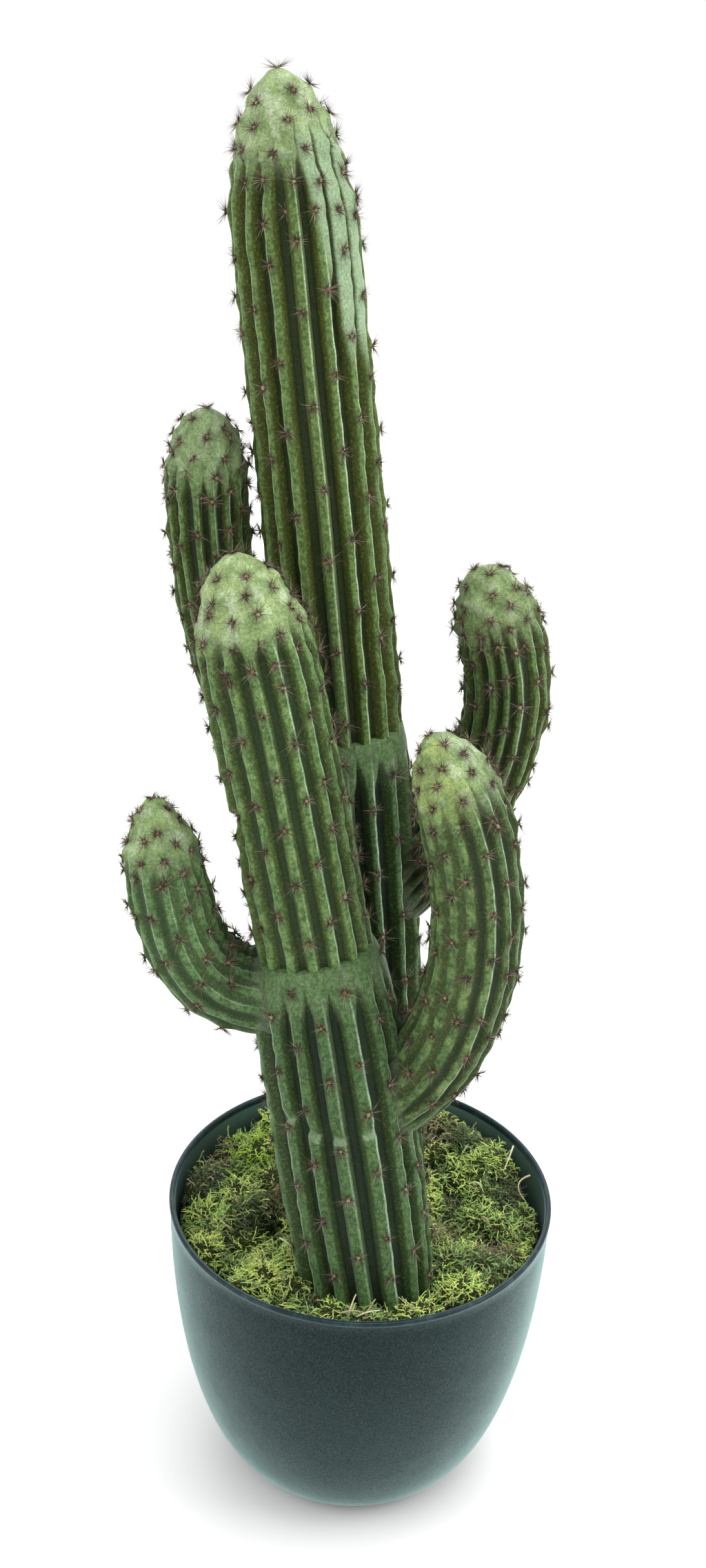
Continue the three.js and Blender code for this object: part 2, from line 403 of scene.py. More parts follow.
def potPlastic():
    # dark slate plastic with a fine grain, slow clouds of tone and faint scuffs
    material, tree, shader = newMaterial("potPlastic", pot["roughness"])
    grain = ranged(tree, noiseOf(tree, 950.0, 3.0, 0.75), 0.42, 0.70)
    cloud = ranged(tree, noiseOf(tree, 14.0, 4.0), 0.35, 0.7)
    pale = opaque(pot["paleColour"])
    tone = mixed(tree, times(tree, grain, 0.45), opaque(pot["colour"]), pale)
    cloudy = mixed(tree, times(tree, cloud, 0.06), tone, pale)
    tree.links.new(cloudy, shader.inputs["Base Color"])
    smooth = pot["roughness"] - 0.06
    wearAndHighlight = pot["roughness"] + 0.12
    scuff = ranged(tree, noiseOf(tree, 60.0, 5.0, 0.7), 0.3, 0.75, smooth, wearAndHighlight)
    tree.links.new(scuff, shader.inputs["Roughness"])
    setSockets(shader, sheenOf(pot["specular"], pot["sheen"], pot["sheenRoughness"], pot["sheenTint"]))
    addBump(tree, shader, grain, 0.25, 0.0004)
    return material


def rimPlastic():
    # the bead is smoother and bluer than the wall, with small rubbed patches
    material, tree, shader = newMaterial("rimPlastic", pot["rimRoughness"])
    rubbed = times(tree, ranged(tree, noiseOf(tree, 90.0, 4.0, 0.65), 0.45, 0.75), 0.35)
    tone = mixed(tree, rubbed, opaque(pot["rimColour"]), opaque(pot["rimPale"]))
    tree.links.new(tone, shader.inputs["Base Color"])
    sheen = (pot["rimSheen"], pot["sheenRoughness"], pot["rimSheenTint"])
    setSockets(shader, sheenOf(pot["rimSpecular"], *sheen))
    return material


def insidePlastic():
    # the inside is plain and dull, and painted much paler than the outside: painted light on a wall that
    # lies in shade
    material, tree, shader = newMaterial("insidePlastic", pot["insideRoughness"])
    setSockets(shader, {"Base Color": opaque(pot["insidePaintedLight"]), "Specular IOR Level": dullSpecular})
    return material


foam = {"dark": (0.05, 0.045, 0.025), "pale": (0.16, 0.15, 0.09), "roughness": 0.95}


def fillingFoam():
    # dull open foam, seen only where the moss is parted
    material, tree, shader = newMaterial("fillingFoam", foam["roughness"])
    cells = noiseOf(tree, 500.0, 3.0)
    colour = mixed(tree, ranged(tree, cells, 0.35, 0.65), opaque(foam["dark"]), opaque(foam["pale"]))
    tree.links.new(colour, shader.inputs["Base Color"])
    addBump(tree, shader, cells, 0.5, 0.001)
    return material


makePot()
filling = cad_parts["filling"]
filling.data.materials.clear()
filling.data.materials.append(fillingFoam())
print("pot and filling")


# Limbs: two stems in two sections each, and four arms

ribs = {
    "count": 15,
    "floor": 0.37,              # where a flank meets the valley's floor, as a share of the pitch
    "crown": 0.06,              # how far a crest's face falls to its corners, as a share of the depth
    "uneven": 0.10,             # how far crests stray from even places, as a share of the pitch
    "sway": 0.010,              # how far a crest winds to and fro, in radians
    "swayLength": (0.018, 0.032),
    "swell": 0.00021,           # how far a crest swells and shrinks along its run
    "swellLengths": (0.0137, 0.0223, 0.0391),
    "height": (0.86, 1.06),
    "stagger": 0.005,           # how far along the limb one rib starts before another
    "fade": (0.86, 0.50),       # ribs fade out on a dome between these shares of its length from the tip
    "weaker": 0.50,             # how much shallower they are on the weak side of a limb
    "domeRings": 34,
    "line": 0.055,              # half width of the painted highlight beside a corner, as a share of the pitch
    "highlightInset": 0.03,          # how far inside the corner it runs
    "highlightTurn": 0.28,           # how far left of the front, as a sine, the painted highlights change corners
}

footLevel = 0.1725

# A look has the angles of the crests seen from the front, the ribs' depth and shape, the skin's colours,
# with painted shade in the valleys and near an arm's root and a painted highlight by the crests' corners,
# and the tufts' spacing
stems = {
    "front_stem": {
        "axis": [
            [0.012, -0.066, 0.158], [-0.016, -0.044, 0.330],
            [-0.045, -0.028, 0.496], [-0.087, -0.010, 0.658],
        ],
        "collar": 0.52,
        "footRadius": 0.0415,
        "swell": 0.004,
        "collarRadius": 0.0425,
        "shoulder": 0.040,
        "band": (0.035, 0.013),
        "upperRadius": 0.0348,
        "topRadius": 0.035,
        "dome": 0.074,
        "domePower": 1.78,
        "lower": {"crests": (-68.0, -39.5, -19.8, 1.8, 25.0, 49.5, 66.0, 86.0), "depth": 0.165,
                  "face": 0.19, "soft": 0.05, "deep": 1.0, "lime": 0.0, "cool": 0.95, "dark": 0.3,
                  "tone": 0.80, "line": 0.75, "frontLine": 0.35, "pale": 0.14, "tufts": 0.040,
                  "seed": 11},
        "upper": {"crests": (-70.0, -46.0, -20.8, 2.2, 25.2, 46.5, 68.0, 86.0), "depth": 0.140,
                  "face": 0.165, "soft": 0.18, "deep": 0.85, "lime": 0.45, "cool": 0.6, "dark": 0.1,
                  "tone": 1.08, "line": 0.9, "frontLine": 0.15, "pale": 1.0, "fade": (0.74, 0.52),
                  "tufts": 0.036, "seed": 12},
    },
    "rear_stem": {
        "axis": [
            [0.004, 0.028, 0.158], [-0.005, 0.046, 0.410],
            [-0.041, 0.074, 0.657], [-0.073, 0.092, 0.900],
        ],
        "collar": 0.485,
        "footRadius": 0.040,
        "swell": 0.0,
        "collarRadius": 0.040,
        "shoulder": 0.024,
        "band": (0.038, 0.012),
        "upperRadius": 0.0370,
        "topRadius": 0.0362,
        "dome": 0.094,
        "domePower": 1.80,
        # the lower section's valleys are painted near black and its tone darker: painted shadow of the
        # front stem
        "lower": {"crests": (-62.0, -40.0, -18.0, 3.0, 26.3, 50.2, 72.8), "depth": 0.21, "face": 0.13,
                  "soft": 0.05, "deep": 1.0, "lime": 0.0, "cool": 1.0, "dark": 0.8, "tone": 0.80,
                  "line": 1.0, "frontLine": 0.8, "pale": 0.2, "tufts": 0.045, "seed": 21},
        "upper": {"crests": (-61.5, -40.2, -19.4, 6.4, 27.6, 49.6, 70.5), "depth": 0.205,
                  "face": 0.15, "soft": 0.0, "deep": 1.0, "lime": 0.10, "cool": 0.15, "dark": 0.1,
                  "tone": 0.98, "line": 1.0, "frontLine": 0.5, "pale": 0.76, "fade": (0.64, 0.42),
                  "tufts": 0.047, "seed": 22},
    },
}

arms = {
    "front_left_arm": {
        "stem": "front_stem", "root": 0.468,
        "axis": [[-0.121, -0.038, 0.368], [-0.1175, -0.040, 0.4465], [-0.130, -0.038, 0.516]],
        "rootRadius": 0.0285, "tipRadius": 0.022, "dome": 0.054, "domePower": 1.75,
        "look": {"crests": (-50.0, -20.0, 7.0, 30.0, 51.0), "depth": 0.095, "face": 0.19,
                 "soft": 0.35, "deep": 0.55, "lime": 0.55, "cool": 0.95, "dark": 0.1, "tone": 1.1,
                 "line": 1.0, "frontLine": 0.4, "rootShade": 0.25, "weak": (-0.25, 0.45), "pale": 0.85,
                 "tufts": 0.032, "seed": 31},
    },
    "front_right_arm": {
        "stem": "front_stem", "root": 0.301,
        "axis": [[0.075, -0.050, 0.335], [0.0785, -0.058, 0.493], [0.0265, -0.050, 0.571]],
        "rootRadius": 0.0272, "tipRadius": 0.0268, "dome": 0.060, "domePower": 1.80,
        "look": {"crests": (-55.0, -31.0, -9.0, 17.6, 41.0, 64.0), "depth": 0.105, "face": 0.19,
                 "soft": 0.22, "deep": 0.85, "lime": 0.95, "cool": 0.6, "dark": 0.3, "tone": 0.76,
                 "line": 0.9, "frontLine": 0.0, "rootShade": 0.1, "weak": (0.3, -0.4),
                 "limeTo": (0.3, 0.8), "pale": 1.0, "tufts": 0.034, "seed": 41},
    },
    "rear_right_arm": {
        "stem": "rear_stem", "root": 0.315,
        "axis": [[0.062, 0.067, 0.444], [0.104, 0.054, 0.544], [0.050, 0.058, 0.6265]],
        "rootRadius": 0.026, "tipRadius": 0.0265, "dome": 0.056, "domePower": 2.0,
        "look": {"crests": (-45.0, -20.0, -2.0, 16.0, 42.0, 61.0), "depth": 0.15, "face": 0.16,
                 "soft": 0.15, "deep": 1.0, "lime": 0.25, "cool": 0.35, "dark": 0.3, "tone": 0.9,
                 "line": 0.9, "frontLine": 0.3, "rootShade": 0.6, "pale": 0.65, "tufts": 0.032,
                 "seed": 51},
    },
    "rear_left_arm": {
        "stem": "rear_stem", "root": 0.36,
        "axis": [[-0.093, 0.080, 0.493], [-0.112, 0.066, 0.610], [-0.109, 0.072, 0.713]],
        "rootRadius": 0.0245, "tipRadius": 0.0245, "dome": 0.056, "domePower": 2.0,
        "look": {"crests": (-57.0, -35.0, -9.0, 12.5, 35.0, 57.0), "depth": 0.17, "face": 0.15,
                 "soft": 0.05, "deep": 1.0, "lime": 0.10, "cool": 0.45, "dark": 0.35, "tone": 0.95,
                 "line": 0.9, "frontLine": 0.4, "rootShade": 0.5, "pale": 0.60, "tufts": 0.034,
                 "seed": 61},
    },
}
shoulderPower = 1.4

armRoot = {
    "start": 0.026,             # distance from the stem's axis at which the visible arm begins
    "smoothEnd": 0.032,
    "ribbedStart": 0.052,
    "tuftsFrom": 0.056,
    "seam": 0.0030,             # width of the dull band along the joint
    "seamRings": 60,            # rings of an arm that can reach its stem
}

wrinkles = {"height": 0.0030, "length": 0.0105}
tubercles = {"height": 0.0008, "domeHeight": 0.0019, "radius": 0.0046}
ringStep = {"stem": 0.0029, "arm": 0.0022}


def measureAxis(controls):
    # a cubic curve drawn by four control points, in short steps: the distance run, the place, the direction
    # and the bend at each
    p0, p1, p2, p3 = np.array(controls)
    t = np.linspace(0.0, 1.0, 1200)[:, None]
    u = 1.0 - t
    places = u ** 3 * p0 + 3 * u ** 2 * t * p1 + 3 * u * t ** 2 * p2 + t ** 3 * p3
    run = np.concatenate([[0.0], np.cumsum(np.linalg.norm(np.diff(places, axis=0), axis=1))])
    along = unit(3 * u ** 2 * (p1 - p0) + 6 * u * t * (p2 - p1) + 3 * t ** 2 * (p3 - p2))
    bend = np.gradient(along, run, axis=0)
    return {"run": run, "places": places, "along": along, "bend": bend, "length": run[-1]}


def readAxis(axis, key, s):
    # that row of an axis at distance s along it
    return np.stack([np.interp(s, axis["run"], axis[key][:, i]) for i in range(3)], -1)


def rounding(s, end, length, power):
    # how a round end closes: 1 where the rounding starts, 0 at the end
    into = np.clip((s - (end - length)) / length, 0.0, 1.0)
    return np.clip(1.0 - into ** power, 0.0, 1.0) ** (1.0 / power)


def belowTip(limb, share):
    # the distance along the axis of a place that share of the dome's length below its tip
    return limb["end"] - share * limb["dome"]


def domeFade(s, end, dome, look):
    # 1 below a dome, falling to 0 on its smooth top
    first, last = look.get("fade", ribs["fade"])
    return 1.0 - smoothStep(end - first * dome, end - last * dome, s)


def dealRibs(limb, look):
    # crests at the angles seen and evenly round the back, each with a valley half way to the next, and each
    # winding and standing in its own way
    rng = np.random.default_rng(look["seed"])
    count = ribs["count"]
    pitch = fullTurn / count
    stray = pitch * ribs["uneven"] * rng.uniform(-1, 1, count)
    seen = np.radians(look["crests"])
    gap = (seen[0] + fullTurn - seen[-1]) / (count - len(seen) + 1)
    rest = seen[-1] + gap * np.arange(1, count - len(seen) + 1)
    crest = np.concatenate([seen, rest + stray[len(seen):]])
    after = np.roll(crest, -1)
    after[-1] += fullTurn
    limb["crestAt"] = crest
    limb["valleyAfter"] = (crest + after) / 2.0
    limb["valleyBefore"] = np.roll(limb["valleyAfter"], 1)
    limb["valleyBefore"][0] -= fullTurn
    limb["swayLength"] = rng.uniform(*ribs["swayLength"], count)
    limb["swayStart"] = rng.uniform(0.0, fullTurn, count)
    limb["ribHeight"] = rng.uniform(*ribs["height"], count)
    limb["ribShift"] = rng.uniform(-ribs["stagger"], ribs["stagger"], count)
    limb["swellStart"] = rng.uniform(0.0, fullTurn, (count, len(ribs["swellLengths"])))
    limb["lumpStart"] = rng.uniform(0.0, fullTurn, 6)
    limb["rng"] = rng
    limb["look"] = look


def stemSection(name, section):
    # a stem's section below or above its collar, with its radius and its share of rib depth along the axis
    size = stems[name]
    axis = measureAxis(size["axis"])
    length = axis["length"]
    collarAt = size["collar"] * length

    def lowerRadius(s):
        share = np.clip(s / collarAt, 0.0, 1.0)
        plain = blendTo(size["footRadius"], size["collarRadius"], share)
        inward = 1.0 - rounding(s, collarAt, size["shoulder"], shoulderPower)
        step = (size["collarRadius"] - size["upperRadius"]) * inward
        return plain + size["swell"] * np.sin(np.pi * share) - step

    def upperRadius(s):
        share = (s - collarAt) / (length - collarAt)
        plain = blendTo(size["upperRadius"], size["topRadius"], share)
        return plain * rounding(s, length, size["dome"], size["domePower"])

    def lowerRelief(s):
        return 1.0 - smoothStep(collarAt - size["band"][0], collarAt - size["band"][1], s)

    def upperRelief(s):
        return domeFade(s, length, size["dome"], size["upper"])

    isLower = section == "lower"
    footAt = np.interp(footLevel, axis["places"][:, 2], axis["run"])
    limb = {
        "name": f"{name}_{section}",
        "nodes": [f"{name}_{section}"],
        "axis": axis,
        "start": footAt if isLower else collarAt - 0.006,
        "end": collarAt if isLower else length,
        "round": size["shoulder"] if isLower else size["dome"],
        "band": size["band"],
        "dome": 0.0 if isLower else size["dome"],
        "radius": lowerRadius if isLower else upperRadius,
        "relief": lowerRelief if isLower else upperRelief,
        "levelFoot": footAt if isLower else None,
        "step": ringStep["stem"],
        "tuftsFrom": (footAt + 0.016) if isLower else (collarAt + 0.012),
        "tuftsTo": (collarAt - 0.005) if isLower else (length - 0.8 * size["dome"]),
        "stem": None,
    }
    dealRibs(limb, size[section])
    return limb


def armLimb(name):
    # an arm from just inside its stem to its tip
    size = arms[name]
    stem = measureAxis(stems[size["stem"]]["axis"])
    root = readAxis(stem, "places", size["root"] * stem["length"])
    axis = measureAxis([root.tolist(), *size["axis"]])
    length = axis["length"]

    def radius(s):
        plain = blendTo(size["rootRadius"], size["tipRadius"], s / length)
        return plain * rounding(s, length, size["dome"], size["domePower"])

    def relief(s):
        fade = domeFade(s, length, size["dome"], size["look"])
        return np.minimum(smoothStep(armRoot["smoothEnd"], armRoot["ribbedStart"], s), fade)

    limb = {
        "name": name,
        "nodes": [f"{name}_elbow", f"{name}_finger"],
        "axis": axis,
        "start": armRoot["start"],
        "end": length,
        "round": size["dome"],
        "dome": size["dome"],
        "radius": radius,
        "relief": relief,
        "levelFoot": None,
        "step": ringStep["arm"],
        "tuftsFrom": armRoot["tuftsFrom"],
        "tuftsTo": length - 0.85 * size["dome"],
        "stem": size["stem"],
    }
    dealRibs(limb, size["look"])
    return limb


def limbFrame(limb, s):
    # the axis at s, with the directions to the front and to the side across it; a foot is cut level
    axis = limb["axis"]
    along = readAxis(axis, "along", s)
    if limb["levelFoot"] is not None:
        level = 1.0 - smoothStep(0.0, 0.05, s - limb["levelFoot"])
        along = unit(blendTo(along, np.array([0.0, 0.0, 1.0]), level[..., None]))
    forward = unit(np.array([0.0, -1.0, 0.0]) + along * along[..., 1:2])
    return readAxis(axis, "places", s), forward, np.cross(along, forward), along


def ribAngle(limb, s, rib, p):
    # p runs across a rib from -0.5 to 0.5: at 0 the angle is the crest's, which winds, and at the ends
    # the valleys'
    out = 2.0 * np.abs(p)
    valley = np.where(p < 0, limb["valleyBefore"][rib], limb["valleyAfter"][rib])
    sway = ribs["sway"] * np.sin(s / limb["swayLength"][rib] + limb["swayStart"][rib])
    return blendTo(limb["crestAt"][rib] + sway * limb["relief"](s + limb["ribShift"][rib]), valley, out)


def placeOnRibs(limb, angle):
    # the rib and the place across it that belong to an angle
    first = limb["valleyBefore"][0]
    turned = np.mod(angle - first, fullTurn) + first
    rib = np.clip(np.searchsorted(limb["valleyAfter"], turned), 0, ribs["count"] - 1)
    gap = turned - limb["crestAt"][rib]
    edge = np.where(gap < 0, limb["crestAt"][rib] - limb["valleyBefore"][rib],
                    limb["valleyAfter"][rib] - limb["crestAt"][rib])
    return rib, 0.5 * gap / edge


crumple = {
    "slow": 0.00022,            # heights of the slow and the quick waves, and of a dome's folds
    "quick": 0.0004,
    "dome": 0.0017,
    "domeMiddle": 1.7,          # the mean of a dome's folded waves
    "domeFrom": 0.9,            # where they set in, as shares of the dome's length from the tip
    "domeFull": 0.55,
}


def lumps(limb, s, angle):
    # slow unevenness of a hand-formed skin: a few sine waves along and round the limb; a dome is crumpled
    # by waves folded up at zero
    a, b, c, d, e, f = limb["lumpStart"]
    slow = np.sin(s * 70.0 + a + 1.5 * np.sin(angle + b)) + np.sin(s * 131.0 + 2.0 * angle + c)
    quick = np.sin(s * 290.0 + 3.0 * angle + d) * np.sin(s * 173.0 - 2.0 * angle + e)
    total = crumple["slow"] * slow + crumple["quick"] * quick * np.sin(s * 60.0 + f)
    if limb["dome"]:
        bumps = np.abs(np.sin(s * 170.0 + 2.0 * np.sin(2.0 * angle + a)))
        bumps = bumps + np.abs(np.sin(2.0 * angle + s * 95.0 + c))
        bumps = bumps + 0.7 * np.abs(np.sin(5.0 * angle - s * 140.0 + e + np.sin(s * 210.0)))
        setsIn = belowTip(limb, crumple["domeFrom"])
        onDome = smoothStep(setsIn, belowTip(limb, crumple["domeFull"]), s)
        total = total + crumple["dome"] * (bumps - crumple["domeMiddle"]) * onDome
    return total


def crestSwell(limb, s, rib):
    # the sum of a few waves along each crest, each rib with its own starts
    total = np.zeros_like(s)
    for number, length in enumerate(ribs["swellLengths"]):
        total = total + np.sin(fullTurn * s / length + limb["swellStart"][rib, number])
    return ribs["swell"] * total


flatStrip = {
    "limb": "rear_stem_upper",
    "from": (0.165, 0.138),     # distances below the tip between which it sets in, and runs out
    "to": (0.04, 0.025),
    "edge": 9.0,                # its left edge at the tip, in degrees from the front
    "edgeSlope": 235.0,         # degrees that the edge moves right for each metre down
    "soft": 5.0,
    "end": (75.0, 95.0),
    "depth": 0.55,              # share of the ribs' depth that is left
}


def flattened(limb, s, angle):
    # where the tall stem's ribs are pressed flat and shiny, on the right of its top; the skin is painted
    # paler there, partly its own colour and partly painted sheen
    if limb["name"] != flatStrip["limb"]:
        return np.zeros_like(s)
    top = limb["end"]
    setsIn = smoothStep(*(top - np.array(flatStrip["from"])), s)
    runsOut = smoothStep(*(top - np.array(flatStrip["to"])), s)
    off = degreesOff(angle)
    edge = flatStrip["edge"] + (top - s) * flatStrip["edgeSlope"]
    wide = smoothStep(edge - flatStrip["soft"], edge + flatStrip["soft"], off)
    return setsIn * (1.0 - runsOut) * wide * (1.0 - smoothStep(*flatStrip["end"], off))


def ribHeight(p, look, flat, relief):
    # 1 on a slightly crowned face, then a flank half straight and half S-shaped to 0 on the valley's floor;
    # a soft rib goes part of the way to a cosine, and where the ribs run out the valleys narrow to a point
    out = np.abs(p)
    face = blendTo(blendTo(0.44, look["face"], relief), 0.41, flat)
    floor = blendTo(blendTo(0.499, ribs["floor"], relief), 0.492, flat)
    crown = ribs["crown"] * np.minimum(out / face, 1.0) ** 2
    down = np.clip((out - face) / (floor - face), 0.0, 1.0)
    flank = 0.5 * down + 0.5 * down * down * (3.0 - 2.0 * down)
    cosine = 0.5 + 0.5 * np.cos(fullTurn * p)
    return blendTo((1.0 - crown) * (1.0 - flank), cosine, look["soft"] * (1.0 - flat))


def ribColumns(face):
    # places across a rib, closer together where its face turns down into the valley
    reach = ribs["floor"] - face
    line = face - ribs["highlightInset"]
    corner = [line - ribs["line"], line, face, 2.0 * face - line]
    half = np.array([*corner, face + 0.4 * reach, face + 0.75 * reach, ribs["floor"], 0.44])
    return np.concatenate([[-0.5], -half[::-1], [0.0], half])


def paintedCornerHighlight(look, p, angle):
    # the painted highlight beside the corner of a crest that is turned away from the front, where its lit
    # edge shows: 1 on it, 0 beside it, and fainter near the front
    away = (np.sin(angle) + ribs["highlightTurn"]) * np.sign(p)
    off = np.abs(np.abs(p) - look["face"] + ribs["highlightInset"])
    near = np.clip(1.6 * (1.0 - off / ribs["line"]), 0.0, 1.0)
    faint = blendTo(look["frontLine"], 1.0, smoothStep(0.25, 0.75, away))
    return look["line"] * faint * near * smoothStep(0.0, 0.15, away)


def sideRelief(look, angle):
    # 1, or less on the weak side of a limb, between two sines of the angle from the front
    if "weak" not in look:
        return 1.0
    return 1.0 - ribs["weaker"] * smoothStep(*look["weak"], np.sin(angle))


def limbSurface(limb, s, rib, p):
    # radius from the axis: the limb's own, pressed in between crests, with lumps, and wrinkled in a bend
    s, rib, p = np.broadcast_arrays(s, rib, p)
    look = limb["look"]
    angle = ribAngle(limb, s, rib, p)
    centre, forward, sideways, _ = limbFrame(limb, s)
    out = forward * np.cos(angle)[..., None] + sideways * np.sin(angle)[..., None]
    flat = flattened(limb, s, angle)
    run = limb["relief"](s + limb["ribShift"][rib])
    crest = ribHeight(p, look, flat, run)
    relief = np.maximum(np.sqrt(run) * sideRelief(look, angle), flat)
    depth = look["depth"] * relief * blendTo(1.0, flatStrip["depth"], flat)
    plain = limb["radius"](s)
    radius = plain * (1.0 - depth + depth * crest * blendTo(1.0, limb["ribHeight"][rib], relief))
    size = np.clip(plain / 0.02, 0.0, 1.0)
    radius = radius + size * lumps(limb, s, angle) * blendTo(0.35, 1.0, crest)
    radius = radius + size * relief * crest * crestSwell(limb, s, rib)
    inner = plain * np.sum(out * readAxis(limb["axis"], "bend", s), -1)
    wave = np.sin(fullTurn * s / wrinkles["length"] + 1.7 * np.sin(3.0 * angle) + rib * 1.3)
    # the inner side of a bend is wrinkled, and the same share paints shade into the wrinkles
    folded = smoothStep(0.10, 0.34, inner) * relief
    radius = radius - wrinkles["height"] * folded * (0.5 + 0.5 * wave) * size
    cut, lip = creases(limb, s, angle, rib)
    radius = np.maximum(radius - cut * crest, 0.0)
    # the fold's lip is painted paler: a painted highlight
    lip = lip * smoothStep(0.55, 0.95, crest)
    line = paintedCornerHighlight(look, p, angle) * relief * (1.0 - flat)
    # the pressed strip's slits get painted shade as well
    folded = np.maximum(folded, flat * smoothStep(0.40, 0.47, np.abs(p)))
    tint = np.maximum(smoothStep(0.0, 0.3, run) * sideRelief(look, angle), flat)
    shape = {"crest": crest, "tint": tint, "flat": flat, "folded": folded, "lip": lip, "line": line}
    shape.update(angle=angle, out=out)
    return centre + out * radius[..., None], shape


# Folds pressed across single limbs: how far along, round which angles, how deep, and how far along each
# runs out, upwards or, where negative, downwards
folds = {
    "front_stem_lower": [
        {"at": 0.1615, "from": -28.0, "to": -11.0, "depth": 0.0055, "run": 0.014, "slant": -0.45},
        {"at": 0.1565, "from": -7.0, "to": 10.0, "depth": 0.0055, "run": 0.012, "slant": -0.15},
        {"at": 0.1670, "from": -47.0, "to": -32.0, "depth": 0.0040, "run": 0.010, "slant": 0.2},
        {"at": 0.1560, "from": 17.0, "to": 32.0, "depth": 0.0025, "run": 0.010, "slant": 0.1},
    ],
    "front_stem_upper": [
        {"at": 0.3665, "from": -120.0, "to": -50.0, "depth": 0.0055, "run": -0.022, "slant": -0.1},
    ],
    "rear_stem_upper": [
        {"at": 0.7065, "from": -40.0, "to": 11.0, "depth": 0.0034, "run": -0.026, "slant": 0.05},
    ],
}


foldSoft = 5.0                  # degrees over which a fold's ends fade, either way


def creases(limb, s, angle, rib):
    # each fold cuts in at its line and runs out again along the limb; its lip is painted paler, a painted
    # highlight where the ramp faces up
    total = np.zeros_like(s)
    lip = np.zeros_like(s)
    off = degreesOff(angle)
    for fold in folds.get(limb["name"], []):
        middle = (fold["from"] + fold["to"]) / 2.0
        line = fold["at"] + fold["slant"] * 0.001 * (off - middle) + 0.0015 * np.sin(rib * 2.1)
        past = (s - line) * np.sign(fold["run"])
        cut = smoothStep(-0.0004, 0.0014, past) * (1.0 - np.clip(past / abs(fold["run"]), 0.0, 1.0))
        wide = smoothStep(fold["from"] - foldSoft, fold["from"] + foldSoft, off)
        wide = wide * (1.0 - smoothStep(fold["to"] - foldSoft, fold["to"] + foldSoft, off))
        total = total + fold["depth"] * cut * wide
        lip = np.maximum(lip, wide * np.exp(-((past - 0.0008) / 0.0020) ** 2))
    return total, lip


def limbStations(limb):
    # even steps along the axis, then steps that grow closer over a rounded end
    evenEnd = limb["end"] - limb["round"]
    even = np.linspace(limb["start"], evenEnd, int((evenEnd - limb["start"]) / limb["step"]))
    rings = ribs["domeRings"] if limb["dome"] else 10
    turn = np.linspace(0.0, np.pi / 2.0, rings + 1)[1:]
    close = evenEnd + limb["round"] * np.sin(turn)
    near = [fold["at"] + np.arange(-0.0055, 0.0055, 0.0006) for fold in folds.get(limb["name"], [])]
    return np.unique(np.concatenate([even, *near, close[:-1] if limb["dome"] else close]))


tuftRows = {
    "jitter": 0.08,             # strays along a crest, as a share of the spacing, and across it
    "offCrest": 0.03,
    "size": (0.75, 1.2),
    "domeLifts": [12.0, 24.0, 36.0, 48.0, 62.0],        # degrees up a dome of its rings
    "domeGap": 0.0158,
    "domeTurn": 0.18,
    "domeJitter": 0.0018,
    "domeSize": (0.8, 1.1),
    "topInset": 0.0004,
    "topSize": 1.1,
}


def placeTufts(limb):
    # along the crests at even but staggered steps, then in rings over the dome, and one on its top
    rng = limb["rng"]
    look = limb["look"]
    rows = []
    for rib in range(ribs["count"]):
        first = limb["tuftsFrom"] + look["tufts"] * ((rib * goldenShare) % 1.0)
        s = np.arange(first, limb["tuftsTo"], look["tufts"])
        count = len(s)
        s = s + rng.normal(0.0, tuftRows["jitter"] * look["tufts"], count)
        p = rng.normal(0.0, tuftRows["offCrest"], count)
        rows.append((s, np.full(count, rib), p, rng.uniform(*tuftRows["size"], count)))
    if limb["dome"]:
        for number, lift in enumerate(np.radians(tuftRows["domeLifts"])):
            at = belowTip(limb, 1.0) + limb["dome"] * np.sin(lift)
            count = max(3, int(round(fullTurn * limb["radius"](at) / tuftRows["domeGap"])))
            stray = rng.uniform(-tuftRows["domeTurn"], tuftRows["domeTurn"], count)
            angle = fullTurn * (np.arange(count) + number * goldenShare + stray) / count
            s = at + rng.normal(0.0, tuftRows["domeJitter"], count)
            rows.append((s, *placeOnRibs(limb, angle), rng.uniform(*tuftRows["domeSize"], count)))
        top = (limb["end"] - tuftRows["topInset"], 0, 0.0, tuftRows["topSize"])
        rows.append(tuple(np.array([value]) for value in top))
    joined = [np.concatenate(column) for column in zip(*rows)]
    limb["tufts"] = dict(zip(("s", "rib", "p", "size"), joined))


def tubercleHeight(limb, points, s, places):
    # a small round swelling under every tuft, higher on a dome
    total = np.zeros(points.shape[:-1])
    for place in places:
        away = np.sum((points - place) ** 2, -1) / tubercles["radius"] ** 2
        total = np.maximum(total, np.exp(-away))
    return tuftRise(limb, s) * total


def tuftRise(limb, s):
    # the height of the swelling under a tuft
    if not limb["dome"]:
        return np.full_like(s, tubercles["height"])
    onDome = smoothStep(belowTip(limb, 1.0), belowTip(limb, 0.7), s)
    return blendTo(tubercles["height"], tubercles["domeHeight"], onDome)


